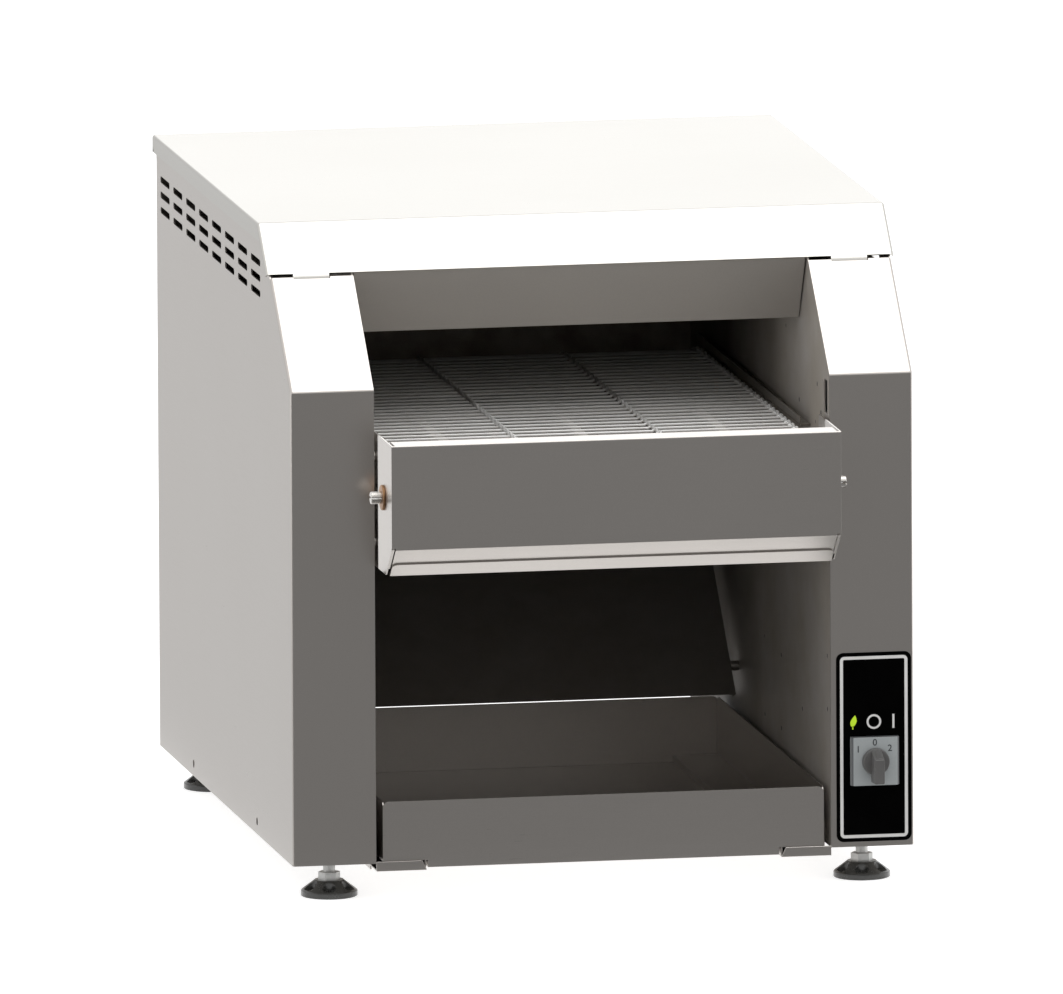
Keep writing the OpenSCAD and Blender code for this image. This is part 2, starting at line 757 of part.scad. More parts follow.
module collecting_tray() color(steel_front) place() {
  half = in_x - tray_gap;
  well = in_x - runner_w - well_gap;
  front = 1;
  wall_h = tray_top - lip_top;
  slit = tray_t + 0.3;
  // the raised edges, each with a side wall, and the well between them
  pair() {
    block([-half, front, lip_top], [-well, tray_d, lip_top + tray_t]);
    block([-well - tray_t, front, -well_drop], [-well, tray_d, lip_top + tray_t]);
    translate([-half, front + slit, lip_top]) rotate([0, 0, 90]) mirror([0, 1, 0])
      round_topped(tray_d - front - 2 * slit, wall_h, tray_t, tray_r);
  }
  block([-well - tray_t, front, -well_drop], [well + tray_t, tray_d, tray_t - well_drop]);
  for (y = [front, tray_d - tray_t]) {
    translate([-half, y, lip_top]) round_topped(2 * half, wall_h, tray_t, tray_r);
    block([-well - tray_t, y, -well_drop], [well + tray_t, y + tray_t, lip_top + tray_t]);
  }
}

// ---------- hood ----------

module hood() color(steel_side) place() {
  corner = [slope_run, body_h];
  sheet = [
    on_slope(hood_edge), corner, [hood_y, body_h], [hood_y, body_h - hood_flange],
    [hood_y - hood_skin, body_h - hood_flange], [hood_y - hood_skin, body_h - hood_skin],
    on_slope(slope_at_z(body_h - hood_skin, -hood_skin), -hood_skin), on_slope(hood_edge, -hood_skin)
  ];
  low = body_h - hood_flange;
  lip = bend_r + hood_lip;
  front = hood_edge + flange_step;
  flange = [
    on_slope(front), corner, [hood_y, body_h], [hood_y, low + 8], [hood_y - 8, low],
    on_slope(slope_at_z(low, -lip), -lip), on_slope(front, -lip)
  ];
  difference() {
    union() {
      prism(sheet, -hood_x, hood_x);
      pair() prism(flange, -hood_x, -hood_x + hood_skin);
    }
    pair() translate([-hood_x, slope_run, body_h]) rotate([-90, 0, 0])
      edge_cut(hood_y - slope_run, bend_r);
    pair() translate([-hood_x, 0, 0] + concat([0], on_slope(hood_edge))) rotate([slope_tilt, 0, 0])
      edge_cut(slope_len - hood_edge, bend_r);
  }
  pair() prism([
    on_slope(hood_edge - tab_len, -tab_bend), on_slope(hood_edge),
    on_slope(hood_edge, -hood_skin), on_slope(hood_edge - tab_len, -tab_bend - hood_skin)
  ], -out_x + (post_w - tab_w) / 2, -out_x + (post_w + tab_w) / 2);
}

module visor() color(steel_front) place() {
  half = in_x - visor_gap;
  sheet_line(visor_top, visor_tip, liner_t, -half, half);
  sheet_line(on_slope(hood_edge + 18, -hood_skin - liner_t), on_slope(hood_edge + 1, -hood_skin - liner_t),
             -liner_t, -half, half);
  sheet_line(visor_tip, visor_tip + [visor_flange, 0], liner_t, -half, half);
}

// Knuckle number i of a hinge, counted in from the machine's side
module knuckle(i, bore) {
  x = -out_x + hinge_inset + i * knuckle_len;
  difference() {
    union() {
      rod_x(x + 0.15, x + knuckle_len - 0.15, hinge_y, hinge_z, knuckle_r);
      translate([x + 0.15, 0, 0]) children();
    }
    rod_x(x - over, x + knuckle_len + over, hinge_y, hinge_z, bore);
  }
}

module hood_hinge_leaves() color(steel_bright) place() pair() {
  for (i = [1, 3]) knuckle(i, hinge_pin_r + run_fit)
    block([0, hood_y, hinge_z + 1], [knuckle_len - 0.3, hood_y + leaf_t, hinge_z + 4]);
  x = -out_x + hinge_inset;
  block([x + 0.15, hood_y, hinge_z + knuckle_r + 1],
        [x + 5 * knuckle_len - 0.15, hood_y + leaf_t, body_h - 2]);
  for (i = [1, 3]) block([x + i * knuckle_len + 0.15, hood_y, hinge_z + 3.9],
                         [x + (i + 1) * knuckle_len - 0.15, hood_y + leaf_t, hinge_z + knuckle_r + 1]);
}

module fixed_hinge_leaves() color(steel_bright) place() pair() {
  for (i = [0, 2, 4]) knuckle(i, hinge_pin_r)
    block([0, body_d + leaf_t, hinge_z - knuckle_r],
          [knuckle_len - 0.3, hinge_y, hinge_z - hinge_pin_r - 0.3]);
  x = -out_x + hinge_inset;
  block([x + 0.15, body_d, hinge_z - leaf_drop],
        [x + 5 * knuckle_len - 0.15, body_d + leaf_t, hinge_z - hinge_pin_r - 0.3]);
}

module hinge_pins() color(steel_bright) place() pair()
  rod_x(-out_x + hinge_inset, -out_x + hinge_inset + 5 * knuckle_len, hinge_y, hinge_z, hinge_pin_r);

// ---------- front guard ----------

module guard_plate() difference() {
  union() {
    prism([
      [guard_back, guard_top], [skin - guard_out, guard_top], [skin - guard_out, guard_low],
      guard_foot + [skin, 0], [guard_back, guard_foot[1]]
    ], -guard_x, -guard_x + skin);
    sheet_line([skin - guard_out, guard_low], guard_foot + [skin - 8, 7], skin, -guard_x, -guard_x + 3);
  }
  rod_x(-guard_x - over, -guard_x + skin + over, -idler_out, axis_z, bush_r);
}

module left_guard_plate() color(steel_side) place() guard_plate();

module right_guard_plate() color(steel_side) place() mirror([1, 0, 0]) guard_plate();

module front_guard() color(steel_front) place() {
  half = guard_x - guard_relief;
  along = [cos(guard_angle), -sin(guard_angle)];
  inside = turned(90, along) * skin;
  drop = cos(guard_angle) - (1 - sin(guard_angle)) * tan(guard_angle);
  bend = [skin - guard_out, guard_low + skin * drop];
  prism([
    [guard_flange - guard_out, guard_top], [-guard_out, guard_top], [-guard_out, guard_low],
    guard_foot, guard_foot + inside, bend,
    [skin - guard_out, guard_top - skin], [guard_flange - guard_out, guard_top - skin]
  ], -half, half);
  block([-guard_x, -guard_out, guard_low + skin], [guard_x, skin - guard_out, guard_top]);
  translate(concat([0], guard_foot)) rotate([-guard_angle, 0, 0]) {
    block([-half, hem_r - hem_w, -skin], [half, 0, skin / 2]);
    block([hem_r - half, -hem_w, -skin], [half - hem_r, 0, skin / 2]);
    pair() translate([half - hem_r, hem_r - hem_w, -skin])
      cylinder(h = 1.5 * skin, r = hem_r, $fn = round_fn);
  }
}

module guard_spacers() color(steel_bright) place() pair()
  for (z = spacer_z) rod_x(guard_x, in_x, spacer_y, z, spacer_r);

// ---------- conveyor ----------

module bushing(face, inward, y) difference() {
  union() {
    rod_x(face, face + bush_flange_t, y, axis_z, bush_flange_r);
    rod_x(face - inward, face, y, axis_z, bush_r);
  }
  rod_x(face - inward - over, face + bush_flange_t + over, y, axis_z, shaft_r + run_fit, bore_fn);
}

module idler_bushings() color(bronze) place() pair() bushing(guard_x, skin + 3, -idler_out);

module drive_bushings() color(bronze) place() pair() bushing(in_x + skin, skin + 4, drive_y);

module idler_shaft() color(steel_bright) place() difference() {
  tip = guard_x + shaft_out;
  rod_x(-tip, tip, -idler_out, axis_z, shaft_r);
  pair() block([tip - shaft_out + bush_flange_t + 1, -idler_out - shaft_r - over, axis_z - 0.75],
               [tip + over, -idler_out + shaft_r + over, axis_z + 0.75]);
}

module drive_shaft() color(steel_bright) place()
  rod_x(-in_x - skin - bush_flange_t - 4, in_x + motor_gap / 2, drive_y, axis_z, shaft_r);

module belt_sprocket(x, y) difference() {
  union() {
    rod_x(x - sprocket_t / 2, x + sprocket_t / 2, y, axis_z, tip_r);
    rod_x(x - sprocket_t, x + sprocket_t, y, axis_z, hub_r);
  }
  rod_x(x - 2 * sprocket_t, x + 2 * sprocket_t, y, axis_z, shaft_r);
  for (i = [0 : roller_wires - 1]) {
    a = (i + 0.5) * 360 / roller_wires;
    rod_x(x - sprocket_t, x + sprocket_t, y + tip_r * cos(a), axis_z + tip_r * sin(a), 4, 24);
  }
}

module idler_sprockets() color(steel_bright) place()
  for (x = sprocket_x) belt_sprocket(x, -idler_out);

module drive_sprockets() color(steel_bright) place()
  for (x = sprocket_x) belt_sprocket(x, drive_y);

// The closed outline of the belt, r from the roller axes
module belt_loop(r, x0, x1) {
  rod_x(x0, x1, -idler_out, axis_z, r, 64);
  rod_x(x0, x1, drive_y, axis_z, r, 64);
  block([x0, -idler_out, axis_z - r], [x1, drive_y, axis_z + r]);
}

module conveyor_belt() color(steel_bright) place() {
  for (i = [0 : run_wires - 1]) {
    rod_x(-belt_x, belt_x, (i + 0.5) * wire_pitch - idler_out, axis_z + belt_r, wire_r, 16);
    rod_x(-belt_x, belt_x, i * wire_pitch - idler_out, axis_z - belt_r, wire_r, 16);
  }
  for (i = [0 : roller_wires - 1]) {
    a = 90 + (i + 0.5) * 360 / roller_wires;
    y = cos(a) < 0 ? -idler_out : drive_y;
    rod_x(-belt_x, belt_x, y + belt_r * cos(a), axis_z + belt_r * sin(a), wire_r, 16);
  }
  for (i = [0 : belt_lanes]) {
    x = min(belt_x - link_w, max(-belt_x, -belt_x + i * lane_w - link_w / 2));
    difference() {
      belt_loop(belt_r + wire_r * 0.7, x, x + link_w);
      belt_loop(belt_r - wire_r * 0.7, x - over, x + link_w + over);
    }
  }
}

module belt_slides() color(steel_dark) place()
  for (i = [0 : belt_lanes - 1]) {
    x = -belt_x + (i + 0.5) * lane_w;
    block([x - slide_w / 2, slide_front, strip_top - slide_t],
          [x + slide_w / 2, drive_y - slide_back, strip_top]);
  }

module belt_cross_bars() color(steel_dark) place()
  for (y = cross_bar_y) rod_x(-in_x, in_x, y, bar_z, cross_bar_d / 2);

module belt_guides() color(steel_dark) place() pair() {
  edge = belt_x + guide_play;
  back = drive_y + belt_r + 16;
  low = guide_z - guide_drop;
  block([edge, guide_front, low], [in_x, back, low + skin]);
  block([edge, guide_front, low], [edge + skin, back, guide_z]);
}

// ---------- drive ----------

module shaft_coupling() color(steel_dark) place() difference() {
  start = in_x + 6;
  end = in_x + motor_gap - 4;
  middle = in_x + motor_gap / 2;
  rod_x(start, end, drive_y, axis_z, coupling_r);
  rod_x(start - over, middle, drive_y, axis_z, shaft_r);
  rod_x(middle - over, end + over, drive_y, axis_z, output_r);
}

module motor_shaft() color(steel_bright) place()
  rod_x(in_x + motor_gap / 2, in_x + motor_gap + gearbox_t / 2, drive_y, axis_z, output_r);

module gearbox() color(steel_dark) place() difference() {
  face = in_x + motor_gap;
  block([face, drive_y - gearbox_size[0] / 2, axis_z - gearbox_size[1] / 2],
        [face + gearbox_t, drive_y + gearbox_size[0] / 2, axis_z + gearbox_size[1] / 2]);
  rod_x(face - over, face + gearbox_t / 2 + 1, drive_y, axis_z, output_r + run_fit, bore_fn);
}

module motor() color(black) place() {
  face = in_x + motor_gap + gearbox_t;
  rod_x(face, face + motor_len, drive_y, axis_z, motor_r);
}

module motor_standoffs() color(steel_bright) place()
  for (dy = [-1, 1], dz = [-1, 1])
    rod_x(in_x + skin, in_x + motor_gap,
          drive_y + dy * motor_corner[0], axis_z + dz * motor_corner[1], standoff_r);

// ---------- controls and mains ----------

module control_label() color(black) place() difference() {
  translate([label_x - label_w / 2, -label_t, label_z]) {
    block([label_r, 0, 0], [label_w - label_r, label_t, label_h]);
    block([0, 0, label_r], [label_w, label_t, label_h - label_r]);
    for (x = [label_r, label_w - label_r], z = [label_r, label_h - label_r])
      rod_y(0, label_t, x, z, label_r);
  }
  rod_y(-label_t - over, over, label_x, switch_z, spindle_r + 1);
}

module switch_plate() color(plate_grey) place() translate([label_x, -label_t, switch_z]) {
  half = plate_w / 2;
  inner = half - plate_bevel;
  base = plate_t - plate_bevel;
  bevel = [[-half, 0], [half, 0], [half, base], [inner, plate_t], [-inner, plate_t], [-half, base]];
  difference() {
    intersection() {
      rotate([0, -90, 0]) rotate([90, 0, 90]) translate([0, 0, -half])
        linear_extrude(plate_w) polygon([for (p = bevel) [-p[1], p[0]]]);
      translate([0, 0, -half]) linear_extrude(plate_w) polygon([for (p = bevel) [p[0], -p[1]]]);
    }
    rod_y(-plate_t - over, over, 0, 0, spindle_r + 0.1, bore_fn);
  }
}

module switch_body() color(black) place() difference() {
  block([label_x - switch_w / 2, skin, switch_z - switch_w / 2],
        [label_x + switch_w / 2, skin + switch_d, switch_z + switch_w / 2]);
  rod_y(0, skin + spindle_in + 1, label_x, switch_z, spindle_r + 0.1, bore_fn);
}

module selector_knob() color(knob_grey) place() translate([label_x, -label_t - plate_t - 0.4, switch_z]) {
  low = -grip_low;
  high = grip_len - grip_low;
  tip = -knob_base_t - grip_t;
  rod_y(-knob_base_t, 0, 0, 0, knob_d / 2);
  // the grip's upper end slopes back towards the base
  root = 1 - knob_base_t;
  turn = low + grip_w / 2;
  prism([[root, turn], [tip, turn], [tip, high - grip_slope], [root, high]], -grip_w / 2, grip_w / 2);
  rod_y(tip, root, 0, turn, grip_w / 2);
  rod_y(-over, label_t + plate_t + 0.4 + spindle_in, 0, 0, spindle_r);
}

module terminal_block() color(ceramic_white) place()
  translate([in_x + skin, body_d - terminal_back, terminal_z]) difference() {
    block([0, 0, 0], [terminal_t, terminal_n * terminal_pitch + terminal_wall, terminal_h]);
    for (i = [0 : terminal_n - 1])
      block([terminal_wall * 1.5, terminal_wall + i * terminal_pitch, terminal_h / 2],
            [terminal_t - terminal_wall * 1.5, (i + 1) * terminal_pitch, terminal_h + over]);
  }

module cable_gland() color(black) place() translate([out_x - gland_in, 0, gland_z]) difference() {
  union() {
    rod_y(back_in - 10, body_d + 5, 0, 0, gland_r);
    rod_y(back_in - 5, back_in, 0, 0, gland_r + 3, 6);
    rod_y(body_d, body_d + 5, 0, 0, gland_r + 4, 6);
    rod_y(body_d + 5, body_d + 12, 0, 0, gland_r + 1);
  }
  rod_y(back_in - 12, body_d + 14, 0, 0, gland_bore_r, bore_fn);
}

module safety_thermostat() color(ceramic_white) place()
  translate([in_x + skin, thermostat_y, reflector_z + thermostat_rise]) {
    rod_x(0, thermostat_t, 0, 0, thermostat_r);
    for (side = [-1, 1])
      block([thermostat_t, -thermostat_r / 4, side * thermostat_r / 2 - 0.5],
            [1.8 * thermostat_t, thermostat_r / 4, side * thermostat_r / 2 + 0.5]);
  }

// ---------- feet ----------

module foot_base(side, y) color(black) place() translate([side * foot_x, y, -foot_h]) difference() {
  union() {
    cylinder(h = foot_rim, r = foot_d / 2, $fn = round_fn);
    translate([0, 0, foot_rim])
      cylinder(h = foot_base_h - foot_rim, r1 = foot_d / 2, r2 = nut_af * 0.75, $fn = round_fn);
  }
  for (i = [0 : 7]) rotate(22.5 + i * 45) translate([foot_d * 0.35, 0, foot_rim + 1.5])
    rotate([0, 20, 0]) cylinder(h = foot_base_h, r = foot_d * 0.06, $fn = 24);
}

module foot_stud(side, y) color(steel_bright) place() translate([side * foot_x, y, foot_base_h - foot_h]) {
  cylinder(h = nut_h, r = nut_af / sqrt(3), $fn = 6);
  cylinder(h = foot_h - foot_base_h + stud_up, r = stud_d / 2, $fn = round_fn);
}

module front_left_foot_base() foot_base(-1, foot_in_y);
module front_right_foot_base() foot_base(1, foot_in_y);
module rear_left_foot_base() foot_base(-1, rear_foot_y);
module rear_right_foot_base() foot_base(1, rear_foot_y);
module front_left_foot_stud() foot_stud(-1, foot_in_y);
module front_right_foot_stud() foot_stud(1, foot_in_y);
module rear_left_foot_stud() foot_stud(-1, rear_foot_y);
module rear_right_foot_stud() foot_stud(1, rear_foot_y);

left_casing();
right_casing();
left_frame_wall();
right_frame_wall();
floor_channels();
back_panel();
back_panel_screws();
rear_shield();
oven_ceiling();
upper_reflector();
lower_reflector();
crumb_shield();
upper_heaters();
lower_heaters();
heater_insulators();
chute();
chute_bosses();
tray_runners();
collecting_tray();
hood();
visor();
hood_hinge_leaves();
fixed_hinge_leaves();
hinge_pins();
front_guard();
left_guard_plate();
right_guard_plate();
guard_spacers();
idler_bushings();
idler_shaft();
idler_sprockets();
drive_shaft();
drive_sprockets();
drive_bushings();
shaft_coupling();
motor_shaft();
gearbox();
motor();
motor_standoffs();
conveyor_belt();
belt_slides();
belt_cross_bars();
belt_guides();
control_label();
switch_plate();
switch_body();
selector_knob();
terminal_block();
cable_gland();
safety_thermostat();
foot_inserts();
front_left_foot_base();
front_right_foot_base();
rear_left_foot_base();
rear_right_foot_base();
front_left_foot_stud();
front_right_foot_stud();
rear_left_foot_stud();
rear_right_foot_stud();
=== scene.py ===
# %% [markdown]
# Conveyor toaster: dressing the CAD model
#
# The CAD model already holds every sheet, shaft and foot at its true size. This lesson
# adds what a drawing leaves out: the small radius of a folded edge, the bent wires of the
# belt, printed marks, threads and screw heads, and the finish of each metal and plastic.
# The frame comes first, and every later piece is placed from it.

# %% Load the frame
import math

import bmesh
import bpy
from mathutils import Matrix, Vector


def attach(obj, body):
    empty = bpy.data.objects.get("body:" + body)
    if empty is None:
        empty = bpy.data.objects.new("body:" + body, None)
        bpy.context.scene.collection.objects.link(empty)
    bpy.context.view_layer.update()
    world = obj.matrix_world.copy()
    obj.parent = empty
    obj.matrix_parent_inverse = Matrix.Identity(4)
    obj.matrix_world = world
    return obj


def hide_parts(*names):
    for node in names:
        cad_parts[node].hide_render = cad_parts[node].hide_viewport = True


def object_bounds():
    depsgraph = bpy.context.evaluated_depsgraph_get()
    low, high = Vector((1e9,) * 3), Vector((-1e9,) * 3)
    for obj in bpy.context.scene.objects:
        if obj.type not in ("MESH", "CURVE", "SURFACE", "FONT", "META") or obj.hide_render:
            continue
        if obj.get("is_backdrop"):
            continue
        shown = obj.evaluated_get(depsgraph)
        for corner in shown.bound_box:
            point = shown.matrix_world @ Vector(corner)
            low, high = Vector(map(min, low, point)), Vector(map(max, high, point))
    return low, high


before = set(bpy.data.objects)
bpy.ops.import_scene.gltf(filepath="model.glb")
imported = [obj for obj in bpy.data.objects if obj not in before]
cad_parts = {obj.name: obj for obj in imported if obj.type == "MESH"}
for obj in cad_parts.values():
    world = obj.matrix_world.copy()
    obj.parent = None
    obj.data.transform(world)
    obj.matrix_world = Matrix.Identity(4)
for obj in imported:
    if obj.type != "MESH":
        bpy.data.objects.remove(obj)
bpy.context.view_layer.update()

# %% [markdown]
# The machine is drawn from the front posts and the housings' lower edge. Two numbers take
# a point from there to the part's own frame, whose origin is under the middle, on the
# floor. Everything below is written in millimetres from the posts, like a shop drawing.

# %% Millimetres from the posts to metres in the part
MM = 0.001
POSTS_Y = -0.3385
HOUSING_Z = 0.037


def at(x, y, z):
    return Vector((x * MM, y * MM + POSTS_Y, z * MM + HOUSING_Z))


def drawn(point):
    """The reverse of at(): a point of a mesh, in millimetres from the posts."""
    return Vector((point.x, point.y - POSTS_Y, point.z - HOUSING_Z)) / MM


print("front posts stand at y =", at(0, 0, 0).y, "and the housings start at z =", at(0, 0, 0).z)

# %% [markdown]
# The camera looks down a little from the front left. A very long lens from far away keeps
# parallel edges almost parallel, as in a technical picture, and still lets other views
# step back when the hood is open.

# %% Camera
LENS = 1610
DISTANCE = 46.907
YAW = math.radians(10.535)
DIP = math.radians(9.181)
ROLL = math.radians(-0.274)

forward = Vector((math.sin(YAW) * math.cos(DIP), math.cos(YAW) * math.cos(DIP), -math.sin(DIP)))
level = Vector((math.cos(YAW), -math.sin(YAW), 0))
upright = level.cross(forward)
right = level * math.cos(ROLL) + upright * math.sin(ROLL)
top = upright * math.cos(ROLL) - level * math.sin(ROLL)
AIM_HEIGHT = 0.340
AIM_LEFT, AIM_DOWN = 0.0075, 0.0001
aim = Vector((0, 0, AIM_HEIGHT)) - right * AIM_LEFT - top * AIM_DOWN

camera = bpy.data.objects.new("camera", bpy.data.cameras.new("camera"))
camera.data.lens = LENS
camera.data.clip_start = 10
camera.data.clip_end = 200
turn = Matrix((right, top, -forward)).transposed().to_4x4()
camera.matrix_world = Matrix.Translation(aim - forward * DISTANCE) @ turn
bpy.context.scene.collection.objects.link(camera)
bpy.context.scene.camera = camera
bpy.context.scene.view_settings.view_transform = "Standard"
print("camera stands", round(DISTANCE), "m away")

# %% [markdown]
# A material is a small network of nodes. Writing it as plain arithmetic keeps it readable:
# a Signal wraps one output of a node, and adding or multiplying two signals adds a Math
# node. Every other node comes from Finish.add, which sets a node's settings before its
# sockets, because some settings change which sockets exist.

# %% Signals, networks and finishes
class Signal:
    """One output of a node. Arithmetic on it adds Math nodes."""

    def __init__(self, network, socket):
        self.network = network
        self.socket = socket

    def also(self, output):
        """Another output of the same node."""
        return Signal(self.network, self.socket.node.outputs[output])

    def _math(self, operation, *values):
        return self.network.add("ShaderNodeMath", {"operation": operation}, dict(enumerate(values)))

    def __add__(self, other):
        return self._math("ADD", self, other)

    __radd__ = __add__

    def __sub__(self, other):
        return self._math("SUBTRACT", self, other)

    def __rsub__(self, other):
        return self._math("SUBTRACT", other, self)

    def __mul__(self, other):
        return self._math("MULTIPLY", self, other)

    __rmul__ = __mul__


class Network:
    """The nodes of a material or of the world."""

    def __init__(self, tree):
        self.nodes = tree.nodes
        self.links = tree.links

    def feed(self, socket, value):
        if isinstance(value, Signal):
            self.links.new(value.socket, socket)
        elif socket.type == "RGBA":
            socket.default_value = (*value[:3], 1)
        else:
            socket.default_value = value

    def add(self, kind, settings=None, sockets=None, output=0):
        node = self.nodes.new(kind)
        for key, value in (settings or {}).items():
            setattr(node, key, value)
        for key, value in (sockets or {}).items():
            self.feed(node.inputs[key], value)
        return Signal(self, node.outputs[output])


class Finish(Network):
    """A material with one Principled shader, and the nodes that feed it."""

    def __init__(self, name, **constants):
        self.material = bpy.data.materials.new(name)
        self.material.use_nodes = True
        super().__init__(self.material.node_tree)
        self.shader = self.nodes["Principled BSDF"]
        self.set(**constants)
        self.place = self.add("ShaderNodeTexCoord", output="Object")

    def noise(self, scale, detail=2, stretch=(1, 1, 1), roughness=0.5):
        spot = self.add("ShaderNodeMapping", {}, {"Vector": self.place, "Scale": stretch})
        return self.add("ShaderNodeTexNoise", {}, {"Vector": spot, "Scale": scale, "Detail": detail,
                                                   "Roughness": roughness})

    def blend(self, mask, low, high):
        """A colour that goes from low to high as the mask goes from 0 to 1."""
        return self.add("ShaderNodeMix", {"data_type": "RGBA"}, {0: mask, 6: low, 7: high}, output=2)

    def between(self, value, low, high):
        """Stretches low..high of a signal to 0..1, and cuts off the rest."""
        return self.add("ShaderNodeMapRange", {}, {"Value": value, "From Min": low, "From Max": high})

    def axis(self, name):
        return self.add("ShaderNodeSeparateXYZ", {}, {0: self.place}, output="XYZ".index(name))

    def bump(self, height, strength, distance):
        return self.add("ShaderNodeBump", {}, {"Height": height, "Strength": strength, "Distance": distance})

    def set(self, **links):
        for key, value in links.items():
            self.feed(self.shader.inputs[key.replace("_", " ").title()], value)
        return self


def shade(hex_colour, gain=1.0):
    """A screen colour such as "8a8682", as the linear numbers that a shader wants."""
    parts = [int(hex_colour[i:i + 2], 16) / 255 for i in (0, 2, 4)]
    return [gain * (c / 12.92 if c <= 0.04045 else ((c + 0.055) / 1.055) ** 2.4) for c in parts]


def scaled(colour, gain):
    return [min(1, c * gain) for c in colour]


print("mid grey 808080 is", round(shade("808080")[0], 3), "in a shader")

# %% [markdown]
# The housings are stainless sheet. Up close it carries fine lines from the rolling mill
# and a light speckle, and its gloss drifts slowly from place to place. The lines are noise
# stretched along the way the sheet was rolled, so they are made from Object coordinates:
# the pattern then stays on the sheet when the part moves.

# %% Stainless sheet
def sheet_steel(name, colour, along, roughness=0.3, speckle=0.06, metallic=1.0):
    finish = Finish(name, metallic=metallic)
    stretch = [1.0, 1.0, 1.0]
    stretch["xyz".index(along)] = 0.02
    lines = finish.noise(900, 3, stretch)
    grain = finish.noise(700, 2, (1, 1, 1), 0.7)
    drift = finish.noise(4, 2)
    mask = grain * speckle * 3 + lines * speckle + drift * speckle * 0.6
    level = finish.between(mask, 0.8 * speckle, 3.8 * speckle)
    finish.set(base_color=finish.blend(level, scaled(colour, 1 - speckle), scaled(colour, 1 + speckle)),
               roughness=lines * 0.08 + drift * 0.06 + (roughness - 0.07),
               normal=finish.bump(lines * 0.6 + grain * 0.4, 0.06, 0.0002))
    return finish.material


side_steel = sheet_steel("side_steel", shade("c6c1bc"), "y")
hood_steel = sheet_steel("hood_steel", shade("c7c5c0"), "x")
guard_steel = sheet_steel("guard_steel", shade("c8c3be"), "x")
tray_steel = sheet_steel("tray_steel", shade("c6c1bc"), "x")
plain_steel = sheet_steel("plain_steel", shade("b4b0ab"), "x", 0.5, metallic=0.6)
print("sheet finishes:", [m.name for m in bpy.data.materials if m.name.endswith("steel")])

# %% [markdown]
# Steel near the heaters turns straw, then brown, then a dull grey film, and it catches
# crumbs and smoke. A coarse noise with a fine one over it gives the cloudy stain. The
# sheets that reach deep into the oven are painted darker towards its back: painted shade
# for the dark depth of the oven.

# %% Heat-stained steel, with painted shade towards the oven's back
def stained_and_shaded_steel(name, colour, stain, roughness=0.45, metallic=1.0, deep_shade=None):
    """The last argument is two depths in millimetres, between which painted shade turns the sheet almost
    black.
    """
    finish = Finish(name, metallic=metallic)
    cloud = finish.noise(9, 4, (1, 1, 1), 0.6)
    grain = finish.noise(600, 2)
    mask = finish.between(cloud + grain * 0.15, 0.42, 0.75)
    tint = finish.blend(mask, colour, stain)
    # painted shade: the sheet turns almost black between the two depths, towards the oven's back
    if deep_shade:
        start, end = (at(0, depth, 0).y for depth in deep_shade)
        deep_shade_mask = finish.between(finish.axis("Y") + cloud * 0.04, start, end)
        tint = finish.blend(deep_shade_mask, tint, scaled(stain, 0.3))
    finish.set(base_color=tint,
               roughness=mask * 0.12 + grain * 0.08 + (roughness - 0.08),
               normal=finish.bump(grain, 0.08, 0.0002))
    return finish.material


# The oven walls, the wires and the sheets under the belt get painted shade towards the oven's back, between
# the two depths given last.
oven_wall_steel = stained_and_shaded_steel("oven_wall_steel", shade("c2bdb8"), shade("b6afa5"), 0.55, 0.35, (370, 560))
oven_sheet_steel = stained_and_shaded_steel("oven_sheet_steel", shade("8a847c"), shade("5d5348"), 0.5, 0.8)
chute_steel = stained_and_shaded_steel("chute_steel", shade("85807a"), shade("7a746c"), 0.5, 0.6)
reflector_steel = stained_and_shaded_steel("reflector_steel", shade("d8d5d0"), shade("c2b59e"), 0.15)
heater_steel = stained_and_shaded_steel("heater_steel", shade("6a4a3a"), shade("40302a"), 0.55)
wire_steel = stained_and_shaded_steel("wire_steel", shade("fbfbfa"), shade("f2f1ef"), 0.55, 0.5, (120, 700))
under_belt_steel = stained_and_shaded_steel("under_belt_steel", shade("e0dcd6"), shade("cec8c0"), 0.5, 0.3, (60, 560))
STAINED_AND_SHADED = (oven_wall_steel, oven_sheet_steel, chute_steel, reflector_steel, heater_steel, wire_steel,
           under_belt_steel)
print("heat-stained finishes:", [m.name for m in STAINED_AND_SHADED])

# %% [markdown]
# Turned and plated parts are smoother. Turning leaves fine rings, so their noise is
# stretched round the shaft; zinc plating has a faint cloudy grain; bronze bushings are
# warm, with darker oil stains. Plating is duller than bare metal, so it is only half metallic.

# %% Turned, plated and cast metal
def turned_metal(name, colour, stain, roughness, ring_axis="x", metallic=1.0):
    finish = Finish(name, metallic=metallic)
    stretch = [0.05, 0.05, 0.05]
    stretch["xyz".index(ring_axis)] = 1.0
    rings = finish.noise(2200, 2, stretch)
    cloud = finish.noise(60, 3)
    finish.set(base_color=finish.blend(finish.between(cloud, 0.35, 0.7), colour, stain),
               roughness=rings * 0.12 + cloud * 0.08 + (roughness - 0.1),
               normal=finish.bump(rings, 0.1, 0.0002))
    return finish.material


shaft_steel = turned_metal("shaft_steel", shade("d6d3cf"), shade("c4bfb8"), 0.25)
bushing_bronze = turned_metal("bushing_bronze", shade("b08a68"), shade("8f6e50"), 0.4)
plated_steel = turned_metal("plated_steel", shade("dadad8"), shade("c8c8c6"), 0.4, "z", 0.5)
screw_steel = turned_metal("screw_steel", shade("c8c6c2"), shade("b0ada8"), 0.3, "y")
gearbox_cast = turned_metal("gearbox_cast", shade("a5a6a8"), shade("8f9092"), 0.55, "z")

# %% [markdown]
# Plastics and paint. A moulded part carries the faint orange-peel of its mould; the label
# is a smooth printed film; glazed ceramic is glossy with tiny specks.

